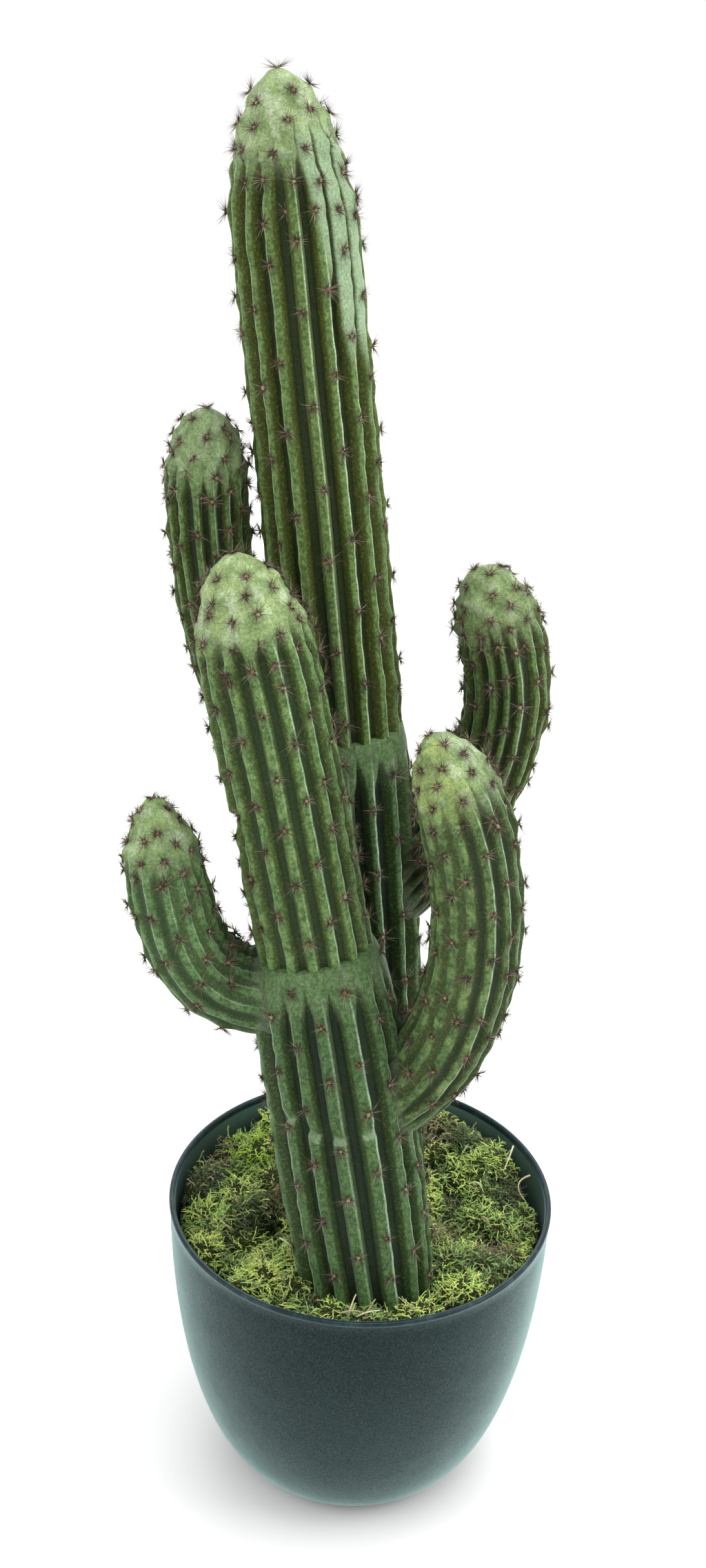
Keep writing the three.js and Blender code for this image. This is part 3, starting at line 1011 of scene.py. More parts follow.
def makeLimb(limb):
    # the surface on a grid of stations and columns, with a swelling under each tuft and closed ends
    placeTufts(limb)
    tufts = limb["tufts"]
    places, tuftShape = limbSurface(limb, tufts["s"], tufts["rib"], tufts["p"])
    across = ribColumns(limb["look"]["face"])
    rib = np.repeat(np.arange(ribs["count"]), len(across))[None]
    p = np.tile(across, ribs["count"])[None]
    s = limbStations(limb)[:, None]
    points, shape = limbSurface(limb, s, rib, p)
    swell = tubercleHeight(limb, points, s, places)
    points = points + shape["out"] * swell[..., None]
    poles = readAxis(limb["axis"], "places", np.array([s[0, 0], limb["end"]]))
    mesh = closedMesh(limb["name"] + "_skin", points, poles)
    look = limb["look"]
    crest = 1.0 - shape["tint"] * (1.0 - shape["crest"])
    run = np.broadcast_to(s, crest.shape)
    rootShading = paintedRootShade(look, run)
    values = {                  # on the grid, at the first pole and at the last
        "crest": (crest, 1.0, 1.0),
        "pale": (look["pale"] * paleShare(limb, run), 0.0, look["pale"]),
        "shine": (shape["flat"], 0.0, 0.0),
        "folded": (shape["folded"], 0.0, 0.0),
        "seam": ((1.0 - look.get("rootShade", 0.0)) * seamShare(limb, points), 0.0, 0.0),
        "lip": (shape["lip"], 0.0, 0.0),
        "lime": (limeShare(look, shape["angle"]), 0.0, 0.5 * look["lime"]),
        "line": (rootShading * shape["line"], 0.0, 0.0),
        "tone": (look["tone"] * rootShading, look["tone"], look["tone"]),
    }
    for key, (grid, atFirst, atLast) in values.items():
        setValues(mesh, key, np.append(grid.ravel(), [atFirst, atLast]))
    for key in ("cool", "dark", "deep"):
        setValues(mesh, key, np.full(len(mesh.vertices), look[key]))
    addPiece(mesh, [skin], "cactus_skin", *limb["nodes"])
    rise = 0.8 * tuftRise(limb, tufts["s"])
    limb["tuftPlaces"] = places + tuftShape["out"] * rise[:, None]
    if limb["dome"]:
        limb["tuftPlaces"][-1] = poles[1]
    limb["tuftNormals"] = tuftNormals(limb)


def paleShare(limb, s):
    # domes and collars are paler than the ribs
    if limb["dome"]:
        first, last = limb["look"].get("fade", ribs["fade"])
        return smoothStep(belowTip(limb, first), belowTip(limb, 0.75 * last), s)
    return smoothStep(limb["end"] - limb["band"][0], limb["end"] - limb["band"][1], s)


def limeShare(look, angle):
    # how lime the mottles are: all round, or less between two sines of the angle from the front
    if "limeTo" not in look:
        return np.full_like(angle, look["lime"])
    return look["lime"] * (1.0 - smoothStep(*look["limeTo"], np.sin(angle)))


def paintedRootShade(look, s):
    # 1, or darker near the root of an arm: painted shade near where it meets its stem
    return 1.0 - look.get("rootShade", 0.0) * (1.0 - smoothStep(0.05, 0.11, s))


def seamShare(limb, points):
    # 1 where an arm's skin meets its stem, 0 a few millimetres from it
    if not limb["stem"]:
        return np.zeros(points.shape[:-1])
    near = points[:armRoot["seamRings"]].reshape(-1, 3)
    gap = np.full(len(near), 1.0)
    for other in limbs:
        if other["name"].startswith(limb["stem"]):
            run = np.linspace(other["start"], other["end"], 140)
            away = np.linalg.norm(near[:, None] - readAxis(other["axis"], "places", run)[None], axis=-1)
            gap = np.minimum(gap, np.min(away - other["radius"](run)[None], axis=1))
    share = np.zeros(points.shape[:-1])
    rings = share[:armRoot["seamRings"]]
    rings[:] = (1.0 - smoothStep(0.0, armRoot["seam"], gap)).reshape(rings.shape)
    return share


def tuftNormals(limb):
    # across the surface's two directions at each tuft, or along the axis on the top of a dome
    tufts = limb["tufts"]
    small = 0.0015
    ahead = limbSurface(limb, tufts["s"] + small, tufts["rib"], tufts["p"])[0]
    behind, shape = limbSurface(limb, tufts["s"] - small, tufts["rib"], tufts["p"])
    along = limbFrame(limb, tufts["s"])[3]
    rise = unit(ahead - behind)
    normal = unit(shape["out"] - rise * np.sum(rise * shape["out"], -1, keepdims=True))
    onTop = (tufts["s"] > limb["end"] - 0.001)[:, None] & (limb["dome"] > 0.0)
    return np.where(onTop, along, normal)


# The darker valley, flank and near-black colours are partly painted shade; the line, streak and lip colours
# are painted highlights, and the pressed strip's colour is partly painted sheen
skinColours = {
    "valley": (0.024, 0.036, 0.009),
    "flank": (0.064, 0.079, 0.015),
    "crest": (0.112, 0.182, 0.048),
    "spot": (0.050, 0.084, 0.019),
    "speck": (0.140, 0.160, 0.028),
    "line": (0.410, 0.540, 0.320),
    "lime": (0.250, 0.345, 0.075),
    "coolLime": (0.165, 0.270, 0.115),
    "coolValley": (0.017, 0.036, 0.013),
    "coolFlank": (0.040, 0.078, 0.025),
    "coolCrest": (0.086, 0.168, 0.055),
    "coolSpot": (0.038, 0.080, 0.025),
    "coolHighlight": (0.370, 0.520, 0.350),
    "pale": (0.335, 0.425, 0.215),
    "coolPale": (0.270, 0.375, 0.190),
    "limePale": (0.340, 0.430, 0.085),
    "paleSpot": (0.165, 0.240, 0.095),
    "streakHighlight": (0.580, 0.660, 0.480),
    "shiny": (0.225, 0.320, 0.180),
    "seam": (0.095, 0.115, 0.075),
    "lip": (0.250, 0.340, 0.200),
    "dark": (0.007, 0.013, 0.006),
}


skinFinish = {
    "roughness": 0.6,
    "shinyRoughness": -0.25,    # added where the skin is pressed flat
    "sheen": 0.42,
    "sheenRoughness": 0.24,
    "sheenTint": (0.72, 0.95, 0.74),
    "bump": 0.5,
    "bumpHeight": 0.0016,
}


def cactusSkin():
    # flocked green skin: dark valleys, partly their own paint and partly painted shade, olive flanks,
    # mottled crests with a painted highlight by one corner, pale domes, fine nap
    material, tree, shader = newMaterial("cactusSkin", skinFinish["roughness"])
    colour = {key: opaque(value) for key, value in skinColours.items()}
    crest = read(tree, "crest")
    cool = read(tree, "cool")
    lime = read(tree, "lime")
    patches = noiseOf(tree, 115.0, 3.0, 0.55)
    blotches = noiseOf(tree, 150.0, 3.0, 0.6)
    spots = noiseOf(tree, 380.0, 3.0, 0.65)
    specks = noiseOf(tree, 650.0, 2.0, 0.6)
    slow = noiseOf(tree, 38.0, 3.0)
    nap = noiseOf(tree, 1500.0, 2.0, 0.7)
    creased = noiseOf(tree, 75.0, 3.0, 0.55, (1.5, 1.5, 1.0))

    def cooled(plain, coolName):
        return mixed(tree, cool, colour[plain], colour[coolName])

    spotTone = cooled("spot", "coolSpot")
    ridge = mixed(tree, ranged(tree, spots, 0.42, 0.60, 0.0, 0.9), cooled("crest", "coolCrest"), spotTone)
    # valleys and lower flanks go dark: partly the skin's own darker paint, partly painted shade, near black
    # where the dark value is high
    depth = times(tree, read(tree, "dark"), ranged(tree, slow, 0.3, 0.65, 0.4, 1.0))
    shade = mixed(tree, depth, cooled("valley", "coolValley"), colour["dark"])
    speckled = ranged(tree, specks, 0.52, 0.70, 0.0, 0.6)
    flank = mixed(tree, speckled, cooled("flank", "coolFlank"), colour["speck"])
    hollow = mixed(tree, ranged(tree, crest, 0.04, 0.40), shade, flank)
    shallow = mixed(tree, read(tree, "deep"), spotTone, hollow)
    body = mixed(tree, ranged(tree, crest, 0.76, 0.96), shallow, ridge)
    limeSpots = times(tree, ranged(tree, blotches, 0.43, 0.66), lime)
    mottle = times(tree, limeSpots, ranged(tree, slow, 0.32, 0.55, 0.35, 1.0))
    onCrest = times(tree, mottle, ranged(tree, crest, 0.4, 0.9))
    limed = mixed(tree, onCrest, body, cooled("lime", "coolLime"))
    # the tone is lower near some arms' roots: painted shade
    toned = mixed(tree, 1.0, limed, read(tree, "tone"), "MULTIPLY")
    # a painted highlight by a crest's corner, where its lit edge shows
    wearAndHighlight = times(tree, read(tree, "line"), ranged(tree, blotches, 0.30, 0.60, 0.45, 1.0))
    highlighted = mixed(tree, wearAndHighlight, toned, cooled("line", "coolHighlight"))
    plainPale = mixed(tree, times(tree, lime, 0.6), cooled("pale", "coolPale"), colour["limePale"])
    paleTone = mixed(tree, ranged(tree, patches, 0.40, 0.66, 0.0, 0.85), plainPale, colour["paleSpot"])
    # pale streaks along the domes' creases: painted highlights
    highlightStreaked = mixed(tree, ranged(tree, creased, 0.48, 0.70, 0.0, 0.55), paleTone, colour["streakHighlight"])
    cloudy = ranged(tree, slow, 0.3, 0.7, 0.7, 1.0)
    paled = mixed(tree, times(tree, read(tree, "pale"), cloudy), highlighted, highlightStreaked)
    # the pressed strip is paler: partly its own colour, partly painted sheen
    shineOn = times(tree, read(tree, "shine"), ranged(tree, crest, 0.5, 0.95))
    paleAndSheen = mixed(tree, shineOn, paled, colour["shiny"])
    # painted shade in the wrinkles of a bend and in the slits of the pressed strip
    folded = mixed(tree, times(tree, read(tree, "folded"), 0.6), paleAndSheen, colour["dark"])
    seamed = mixed(tree, times(tree, read(tree, "seam"), 0.7), folded, colour["seam"])
    # a painted highlight on the lip below a fold
    lipHighlighted = mixed(tree, times(tree, read(tree, "lip"), 0.75), seamed, colour["lip"])
    grainy = mixed(tree, 1.0, lipHighlighted, greyRange(tree, specks, 0.72, 1.28), "MULTIPLY")
    fine = mixed(tree, 1.0, grainy, greyRange(tree, nap, 0.65, 1.35), "MULTIPLY")
    tree.links.new(fine, shader.inputs["Base Color"])
    smoother = times(tree, read(tree, "shine"), skinFinish["shinyRoughness"])
    tree.links.new(plus(tree, smoother, skinFinish["roughness"]), shader.inputs["Roughness"])
    sheen = (skinFinish["sheen"], skinFinish["sheenRoughness"], skinFinish["sheenTint"])
    setSockets(shader, sheenOf(dullSpecular, *sheen))
    relief = plus(tree, times(tree, nap, 0.25), creased)
    addBump(tree, shader, relief, skinFinish["bump"], skinFinish["bumpHeight"])
    return material


def greyRange(tree, value, low, high):
    # the middle of a noise's range as a grey from low to high
    return ranged(tree, value, 0.2, 0.8, low, high)


skin = cactusSkin()
limbs = [stemSection(name, section) for name in stems for section in ("lower", "upper")]
limbs += [armLimb(name) for name in arms]
for limb in limbs:
    makeLimb(limb)
    print("limb", limb["name"], len(limb["tufts"]["s"]), "tufts")


# Tufts of spines

tuft = {
    "spines": 54,
    "spineLength": (0.0042, 0.0112),
    "spineRadius": 0.00015,
    "spread": (44.0, 88.0),     # degrees from upright
    "nubRadius": 0.0014,
    "nubHeight": 0.0012,
    "spineColours": [
        (0.046, 0.032, 0.021), (0.090, 0.060, 0.038), (0.165, 0.112, 0.070), (0.38, 0.34, 0.25),
    ],
    "spineShares": [0.36, 0.28, 0.18, 0.18],
    "nubColours": [
        (0.165, 0.082, 0.050), (0.230, 0.125, 0.078), (0.320, 0.210, 0.140), (0.075, 0.042, 0.028),
    ],
    "nubShares": [0.40, 0.28, 0.10, 0.22],
    "seed": 5,
}


def acrossOf(normals):
    # two directions across each normal
    helper = np.where(np.abs(normals[..., 2:3]) < 0.9, np.array([0.0, 0.0, 1.0]), np.array([1.0, 0.0, 0.0]))
    side = unit(np.cross(helper, normals))
    return side, np.cross(normals, side)


def insideLimb(points, limb, margin):
    # points nearer to a limb's axis than its surface there, less a margin
    axis = limb["axis"]
    run = np.linspace(limb["start"], limb["end"], 160)
    places = readAxis(axis, "places", run)
    gap = np.linalg.norm(points[:, None] - places[None], axis=-1)
    return np.any(gap < limb["radius"](run)[None] - margin, axis=1)


def gatherTufts():
    # every tuft that isn't buried in another limb
    places, normals, sizes = [], [], []
    for limb in limbs:
        buried = np.zeros(len(limb["tuftPlaces"]), bool)
        for other in limbs:
            if other is not limb:
                buried |= insideLimb(limb["tuftPlaces"], other, -0.001)
        places.append(limb["tuftPlaces"][~buried])
        normals.append(limb["tuftNormals"][~buried])
        sizes.append(limb["tufts"]["size"][~buried])
    return np.concatenate(places), np.concatenate(normals), np.concatenate(sizes)


def makeSpines(places, normals, sizes, rng):
    # each spine is a slim three-sided spike that leans out of its tuft
    count = tuft["spines"]
    shape = (len(places), count)
    side, front = acrossOf(normals)
    lean = np.radians(rng.uniform(*tuft["spread"], shape))[..., None]
    turn = rng.uniform(0.0, fullTurn, shape)[..., None]
    flat = side[:, None] * np.cos(turn) + front[:, None] * np.sin(turn)
    heading = unit(normals[:, None] * np.cos(lean) + flat * np.sin(lean))
    drawn = rng.uniform(0.0, 1.0, shape) ** 1.2
    length = blendTo(*tuft["spineLength"], drawn)[..., None] * sizes[:, None, None]
    start = places[:, None] + flat * tuft["nubRadius"] * 0.5 + normals[:, None] * tuft["nubHeight"] * 0.3
    first, second = acrossOf(heading)
    corners = []
    for step in range(3):
        angle = fullTurn * step / 3.0
        corners.append(start + tuft["spineRadius"] * (first * np.cos(angle) + second * np.sin(angle)))
    corners.append(start + heading * length)
    copies = np.stack(corners, 2).reshape(-1, 4, 3)
    dealt = rng.choice(len(tuft["spineColours"]), len(copies), p=tuft["spineShares"])
    materials = plainMaterials("spine", tuft["spineColours"], 0.7, 0.0)
    addHalves("tuft_spines", copies, [spikeFaces], dealt, materials, "cactus_skin")


def makeNubs(places, normals, sizes, rng):
    # a low uneven dome of felt: rings of six corners on a half ellipsoid, closed above and below
    columns = 6
    side, front = acrossOf(normals)
    lifts = np.radians([0.0, 32.0, 62.0])
    turns = fullTurn * np.arange(columns) / columns
    uneven = rng.uniform(0.75, 1.25, (len(places), len(lifts), columns, 1)) * sizes[:, None, None, None]
    turns = turns[None, None, :, None]
    flat = side[:, None, None] * np.cos(turns) + front[:, None, None] * np.sin(turns)
    ring = flat * (tuft["nubRadius"] * np.cos(lifts))[None, :, None, None]
    rise = normals[:, None, None] * (tuft["nubHeight"] * np.sin(lifts))[None, :, None, None]
    body = places[:, None, None] + (ring + rise) * uneven
    top = places + normals * tuft["nubHeight"] * sizes[:, None]
    under = places - normals * tuft["nubHeight"] * 0.4
    copies = np.concatenate([body.reshape(len(places), -1, 3), top[:, None], under[:, None]], 1)
    quads = gridFaces(len(lifts), columns)
    above = fanFaces((len(lifts) - 1) * columns, columns, len(lifts) * columns, True)
    below = fanFaces(0, columns, len(lifts) * columns + 1, False)
    dealt = rng.choice(len(tuft["nubColours"]), len(copies), p=tuft["nubShares"])
    mesh = makeRepeated("tuft_nubs", copies, [quads, above, below], dealt)
    addPiece(mesh, plainMaterials("nub", tuft["nubColours"], 0.9, 0.3), "cactus_skin")


tuftRng = np.random.default_rng(tuft["seed"])
tuftPlaces, tuftOut, tuftSizes = gatherTufts()
makeNubs(tuftPlaces, tuftOut, tuftSizes, tuftRng)
makeSpines(tuftPlaces, tuftOut, tuftSizes, tuftRng)
print("tufts", len(tuftPlaces))


# Moss

moss = {
    "level": 0.186,
    "lump": {"height": 0.004, "across": 0.017, "deep": 0.019, "ripple": 0.011},
    "cushion": {"x": -0.078, "y": 0.012, "radius": 0.042, "height": 0.005},
    "edge": 0.1172,
    "wallGap": 0.006,           # how far the bed sinks along the pot's wall, except at the front
    "wallGapWidth": 0.016,
    "frontRise": 0.006,         # how far the bed rises towards the front
    "backRise": 0.005,
    "clumps": 100,
    "clumpRadius": (0.008, 0.018),
    "clumpHeight": (0.003, 0.013),
    "dip": 0.007,               # how far the bed sinks between clumps
    "clumpsApart": 0.66,        # share of two clumps' radii that lies between their middles
    "clumpTone": 0.27,
    "clumpSpread": 0.36,
    "wallShadeTone": 0.25,           # painted shade at the edge by the pot's wall, painted light on the left
    "leftLightTone": 0.12,
    "footShadeTone": 0.50,           # painted shade at a clump's foot and in the dark hollows
    "hollowShadeTone": 0.55,
    "strandSpread": 0.20,
    "strawShare": 0.06,
    "limeShare": 0.8,           # of the strands on the first clump
    "brownTones": ([6, 7, 3], [0.5, 0.3, 0.2]),         # colours of a brown patch, and their shares
    "rings": 70,
    "columns": 220,
    "groundColours": [(0.020, 0.030, 0.009), (0.032, 0.031, 0.013), (0.22, 0.30, 0.075)],
    "groundSpecular": 0.1,
    "placed": [                 # clumps that are seen: x, y, radius, height, tone from 0 to 1, dark
        (-0.069, 0.054, 0.019, 0.012, 0.0),
        (-0.100, -0.014, 0.015, 0.009, 0.25),
        (-0.081, 0.004, 0.016, 0.010, 0.2),
        (-0.058, 0.028, 0.014, 0.009, 0.3),
        (0.066, -0.076, 0.015, 0.009, 0.1),
        (-0.060, 0.090, 0.017, 0.015, 0.15),
        (-0.090, 0.064, 0.014, 0.012, 0.4),
        (0.058, 0.092, 0.015, 0.012, 0.3),
        (0.094, 0.054, 0.014, 0.011, 0.3),
    ],
    "brown": [                  # patches of brown fibres: x, y, radius
        (-0.097, 0.047, 0.017),
        (-0.056, 0.000, 0.012),
        (0.045, 0.083, 0.016),
        (0.056, -0.018, 0.010),
        (0.087, -0.033, 0.014),
    ],
    "dark": [                   # hollows that lie in shade: x, y, radius
        (-0.104, 0.016, 0.020),
        (-0.072, -0.022, 0.013),
        (0.084, -0.054, 0.020),
        (0.094, 0.030, 0.014),
    ],
    "strands": 185,             # on a clump of middle size
    "strandLength": (0.005, 0.013),
    "strandRadius": 0.00042,
    "strandTurn": (0.7, 3.0),   # radians that a strand curls through
    "strandLift": (4.0, 66.0),  # degrees that it starts above level
    "strandSink": 0.0010,
    "leaflets": (0.30, 0.47, 0.64, 0.81),
    "leafletLength": (0.0010, 0.0022),
    "leafletWidth": 0.00040,
    "leafletLean": 42.0,        # degrees from the strand
    "colours": [
        (0.80, 0.95, 0.240),
        (0.57, 0.80, 0.180),
        (0.39, 0.60, 0.150),
        (0.21, 0.34, 0.085),
        (0.074, 0.112, 0.036),
        (0.62, 0.58, 0.310),
        (0.22, 0.180, 0.095),
        (0.40, 0.340, 0.180),
        (0.46, 0.70, 0.070),
    ],
    "seed": 77,
}


def mossHeight(x, y):
    # a low swell of lumps and one larger cushion on the left, sunk along the pot's wall by an uneven amount
    lump = moss["lump"]
    cushion = moss["cushion"]
    broad = np.sin(x / lump["across"]) * np.cos(y / lump["deep"])
    ripple = np.sin((x - y) / lump["ripple"]) / 2.0
    away = np.hypot(x - cushion["x"], y - cushion["y"]) / cushion["radius"]
    swell = lump["height"] * (broad + ripple) + cushion["height"] * np.exp(-away ** 2)
    turn = np.arctan2(y, x)
    uneven = 0.7 + 0.25 * np.sin(3.0 * turn + 1.0) + 0.2 * np.sin(7.0 * turn)
    toFront = smoothStep(0.35, 0.85, -np.sin(turn))
    nearWall = smoothStep(moss["edge"] - moss["wallGapWidth"], moss["edge"], np.hypot(x, y))
    sunk = moss["wallGap"] * uneven * nearWall * (1.0 - toFront)
    rise = moss["frontRise"] * smoothStep(0.02, 0.10, -y) + moss["backRise"] * smoothStep(0.0, 0.09, y)
    return moss["level"] + swell - sunk + rise


def dealClumps(rng):
    # clumps spread over the bed, each kept a little clear of those before it: x, y, radius, height, tone
    found = [np.array(clump) for clump in moss["placed"]]
    for attempt in range(6000):
        if len(found) >= moss["clumps"]:
            break
        radius = moss["edge"] * np.sqrt(rng.uniform(0.0, 0.96))
        angle = rng.uniform(0.0, fullTurn)
        place = np.array([radius * np.cos(angle), radius * np.sin(angle)])
        size = rng.uniform(*moss["clumpRadius"])
        # a clump is painted darker near the pot's wall, a painted shade, and brighter on the left, a
        # painted light
        tone = moss["clumpTone"] + moss["wallShadeTone"] * smoothStep(0.85, 1.0, radius / moss["edge"])
        tone = tone + rng.normal(0.0, moss["clumpSpread"])
        tone = np.clip(tone - moss["leftLightTone"] * smoothStep(0.02, 0.05, -place[0]), 0.0, 1.0)
        apart = moss["clumpsApart"]
        if all(np.hypot(*(place - other[:2])) > apart * (size + other[2]) for other in found):
            found.append(np.array([*place, size, rng.uniform(*moss["clumpHeight"]), tone]))
    return np.array(found)


def mossSurface(x, y, clumps):
    # the swell, with a steep-sided dome on every clump and a dip between them
    gap = np.hypot(x[..., None] - clumps[:, 0], y[..., None] - clumps[:, 1]) / clumps[:, 2]
    dome = clumps[:, 3] * np.clip(1.0 - gap ** 2, 0.0, 1.0) ** 0.6
    dip = moss["dip"] * smoothStep(0.85, 1.35, np.min(gap, axis=-1))
    return mossHeight(x, y) + np.max(dome, axis=-1) - dip


def makeMossBed(clumps):
    # rings from the middle to the edge, lifted to the moss's surface, with the edge turned down
    turnedDown = [moss["edge"] + 0.0012, moss["edge"] + 0.0005]
    radii = np.append(np.linspace(0.002, moss["edge"], moss["rings"]), turnedDown)
    angle = np.linspace(0.0, fullTurn, moss["columns"], endpoint=False)
    x = radii[:, None] * np.cos(angle)
    y = radii[:, None] * np.sin(angle)
    z = mossSurface(x, y, clumps)
    z[-2] -= 0.002
    z[-1] = footLevel
    points = np.stack([x, y, np.maximum(z, footLevel)], -1)[::-1]
    middle = float(mossSurface(np.zeros(1), np.zeros(1), clumps)[0])
    poles = np.array([[0.0, 0.0, footLevel], [0.0, 0.0, middle]])
    addPiece(closedMesh("moss_ground", points, poles), [mossGround()], "moss", "moss_bed")


def mossGround():
    # dark matted fibres under the strands: the dark is painted shade in the gaps between clumps
    material, tree, shader = newMaterial("mossGround", 0.95)
    fibres = noiseOf(tree, 620.0, 4.0, 0.7)
    slow = noiseOf(tree, 45.0, 3.0)
    green, brown, fibre = (opaque(colour) for colour in moss["groundColours"])
    base = mixed(tree, ranged(tree, slow, 0.35, 0.65), green, brown)
    colour = mixed(tree, ranged(tree, fibres, 0.49, 0.68), base, fibre)
    tree.links.new(colour, shader.inputs["Base Color"])
    setSockets(shader, {"Specular IOR Level": moss["groundSpecular"]})
    addBump(tree, shader, fibres, 0.8, 0.002)
    return material


def strandFeet(clumps, rng):
    # places over every clump, more on a larger one, and none inside a stem: x, y, bearing, clump, and
    # share of its radius
    middle = np.mean(moss["clumpRadius"])
    perClump = (moss["strands"] * (clumps[:, 2] / middle) ** 2).astype(int)
    owner = np.repeat(np.arange(len(clumps)), perClump)
    out = np.sqrt(rng.uniform(0.0, 1.1, len(owner)))
    turn = rng.uniform(0.0, fullTurn, len(owner))
    x = clumps[owner, 0] + clumps[owner, 2] * out * np.cos(turn)
    y = clumps[owner, 1] + clumps[owner, 2] * out * np.sin(turn)
    keep = np.hypot(x, y) < moss["edge"] - 0.001
    feet = np.stack([x, y, np.full(len(owner), moss["level"])], -1)
    for limb in limbs:
        if limb["levelFoot"] is not None:
            keep &= ~insideLimb(feet, limb, 0.0005)
    return x[keep], y[keep], turn[keep], owner[keep], out[keep]


def strandTones(x, y, owner, out, clumps, rng):
    # a clump's own tone, darker at its foot and in the dark hollows as painted shade, with some spread, a
    # few straw-coloured strands, browns in patches, and a lime first clump
    tone = clumps[owner, 4] + moss["footShadeTone"] * smoothStep(0.6, 1.05, out)
    tone = tone + rng.normal(0.0, moss["strandSpread"], len(owner))
    for patchX, patchY, radius in moss["dark"]:
        away = np.hypot(x - patchX, y - patchY) / radius
        tone = tone + moss["hollowShadeTone"] * smoothStep(1.2, 0.6, away)
    dealt = np.clip((tone * 5.0).astype(int), 0, 4)
    dealt = np.where(rng.uniform(0.0, 1.0, len(owner)) < moss["strawShare"], 5, dealt)
    inBrown = np.zeros(len(owner), bool)
    for patchX, patchY, radius in moss["brown"]:
        away = np.hypot(x - patchX, y - patchY) / radius
        inBrown |= away + rng.normal(0.0, 0.25, len(owner)) < 1.0
    tones, shares = moss["brownTones"]
    browns = rng.choice(tones, len(owner), p=shares)
    dealt = np.where(inBrown, browns, dealt)
    limed = (owner == 0) & (rng.uniform(0.0, 1.0, len(owner)) < moss["limeShare"])
    return np.where(limed, 8, dealt)


def leafletCorners(base, along, across, rng):
    # a slim flat blade of four corners that leans forward off its strand
    lean = np.radians(moss["leafletLean"])
    heading = along * np.cos(lean) + across * np.sin(lean)
    wide = along * np.sin(lean) - across * np.cos(lean)
    thick = np.cross(heading, wide)
    length = rng.uniform(*moss["leafletLength"], len(base))[:, None]
    width = moss["leafletWidth"]
    return [base + wide * width, base + thick * width * 0.7, base - wide * width, base + heading * length]


def makeStrands(clumps, rng):
    # each strand rises from its clump and curls over on an arc; its three-sided rings taper to a point,
    # and leaflets stand off it to both sides
    x, y, turn, owner, out = strandFeet(clumps, rng)
    count = len(owner)
    start = np.stack([x, y, mossSurface(x, y, clumps) - moss["strandSink"]], -1)
    bearing = turn + rng.normal(0.0, 1.0, count)
    lift = np.radians(rng.uniform(*moss["strandLift"], count))
    heading = np.stack([np.cos(bearing) * np.cos(lift), np.sin(bearing) * np.cos(lift), np.sin(lift)], -1)
    side = unit(np.cross(heading, [0.0, 0.0, 1.0]))
    upward = np.cross(side, heading)
    roll = rng.uniform(-0.15 * np.pi, 1.15 * np.pi, count)[:, None]
    bend = side * np.cos(roll) - upward * np.sin(roll)
    across = np.cross(heading, bend)
    length = rng.uniform(*moss["strandLength"], count)[:, None]
    curl = rng.uniform(*moss["strandTurn"], count)[:, None]
    reach = length / curl

    def along(share):
        return heading * np.cos(curl * share) + bend * np.sin(curl * share)

    def place(share):
        return start + reach * (heading * np.sin(curl * share) + bend * (1.0 - np.cos(curl * share)))

    corners = []
    for share in (0.0, 0.42, 0.78):
        second = np.cross(along(share), across)
        thick = moss["strandRadius"] * (1.0 - 0.5 * share)
        for step in range(3):
            angle = fullTurn * step / 3.0
            corners.append(place(share) + thick * (across * np.cos(angle) + second * np.sin(angle)))
    corners.append(place(1.0))
    for number, share in enumerate(moss["leaflets"]):
        second = np.cross(along(share), across)
        angle = (number * np.pi + rng.uniform(-0.9, 0.9, count))[:, None]
        outward = across * np.cos(angle) + second * np.sin(angle)
        corners += leafletCorners(place(share), along(share), outward, rng)
    copies = np.stack(corners, 1)
    tips = np.hypot(copies[:, 9, 0], copies[:, 9, 1])
    dealt = strandTones(x, y, owner, out, clumps, rng)
    inPot = tips < moss["edge"] + 0.001
    copies = copies[inPot]
    dealt = dealt[inPot]
    blades = np.concatenate([spikeFaces + 10 + 4 * number for number in range(len(moss["leaflets"]))])
    patterns = [gridFaces(3, 3), fanFaces(6, 3, 9, True), np.array([[2, 1, 0]]), blades]
    materials = plainMaterials("mossStrand", moss["colours"], 0.85, 0.25)
    addHalves("moss_strands", copies, patterns, dealt, materials, "moss")
    return len(copies)


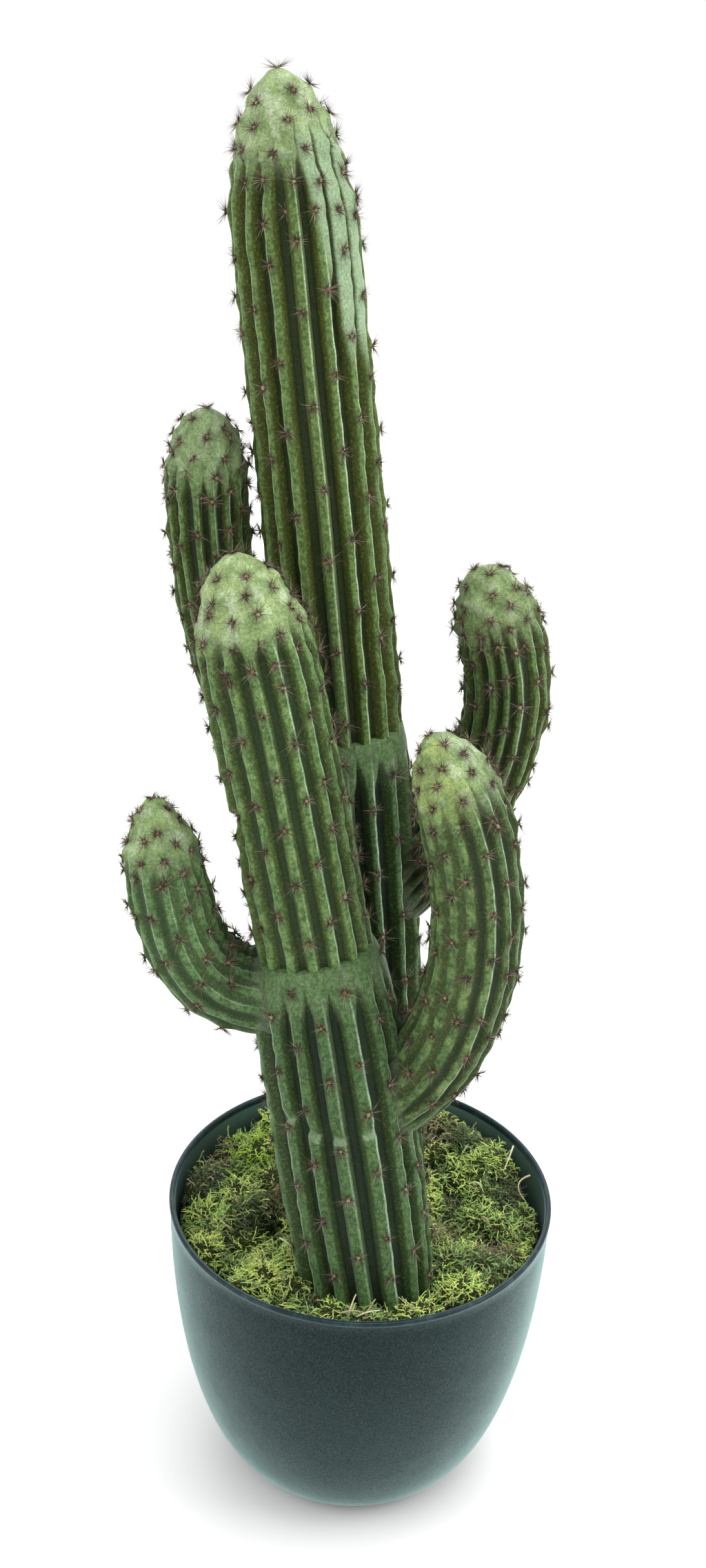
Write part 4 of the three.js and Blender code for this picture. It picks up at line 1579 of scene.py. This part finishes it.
# Loose straws on the moss: three points each, in metres
straws = {
    "paths": [
        [(0.102, 0.058, 0.206), (0.099, 0.044, 0.208), (0.095, 0.035, 0.202)],
        [(0.112, 0.026, 0.207), (0.098, 0.016, 0.209), (0.108, 0.006, 0.202)],
        [(0.073, 0.015, 0.207), (0.078, 0.016, 0.210), (0.081, 0.011, 0.203)],
        [(0.079, -0.018, 0.206), (0.082, -0.020, 0.209), (0.085, -0.024, 0.203)],
        [(-0.050, -0.047, 0.205), (-0.045, -0.053, 0.208), (-0.040, -0.055, 0.203)],
        [(-0.089, -0.034, 0.206), (-0.086, -0.039, 0.209), (-0.081, -0.040, 0.203)],
        [(-0.004, -0.112, 0.200), (-0.003, -0.113, 0.211), (0.000, -0.112, 0.219)],
        [(0.006, -0.113, 0.201), (0.008, -0.114, 0.210), (0.012, -0.112, 0.216)],
        [(0.001, -0.114, 0.203), (0.007, -0.115, 0.209), (0.015, -0.114, 0.209)],
        [(-0.009, -0.113, 0.204), (-0.003, -0.115, 0.210), (0.004, -0.114, 0.207)],
    ],
    "radius": 0.00065,
    "rings": 9,
    "sides": 5,
    "colours": [(0.66, 0.64, 0.42), (0.46, 0.38, 0.21)],
}


def makeStraws():
    # a round stalk along the quadratic curve that each path's three points draw, tapering towards its end
    paths = np.array(straws["paths"])
    share = np.linspace(0.0, 1.0, straws["rings"])[None, :, None]
    first, middle, last = (paths[:, None, number] for number in range(3))
    places = (1 - share) ** 2 * first + 2 * share * (1 - share) * middle + share ** 2 * last
    along = unit(2 * (1 - share) * (middle - first) + 2 * share * (last - middle))
    side, other = acrossOf(along)
    angle = (fullTurn * np.arange(straws["sides"]) / straws["sides"])[None, None, :, None]
    thick = straws["radius"] * (1.0 - 0.5 * share)[..., None]
    outward = side[:, :, None] * np.cos(angle) + other[:, :, None] * np.sin(angle)
    rings = places[:, :, None] + thick * outward
    ends = np.stack([places[:, 0], places[:, -1]], 1)
    copies = np.concatenate([rings.reshape(len(paths), -1, 3), ends], 1)
    corners = straws["rings"] * straws["sides"]
    patterns = [
        gridFaces(straws["rings"], straws["sides"]),
        fanFaces(0, straws["sides"], corners, False),
        fanFaces(corners - straws["sides"], straws["sides"], corners + 1, True),
    ]
    mesh = makeRepeated("moss_straws", copies, patterns, np.arange(len(paths)) % len(straws["colours"]))
    addPiece(mesh, plainMaterials("straw", straws["colours"], 0.8, 0.1), "moss")


mossRng = np.random.default_rng(moss["seed"])
mossClumps = dealClumps(mossRng)
makeMossBed(mossClumps)
print("moss", len(mossClumps), "clumps,", makeStrands(mossClumps, mossRng), "strands")
makeStraws()
print("straws")
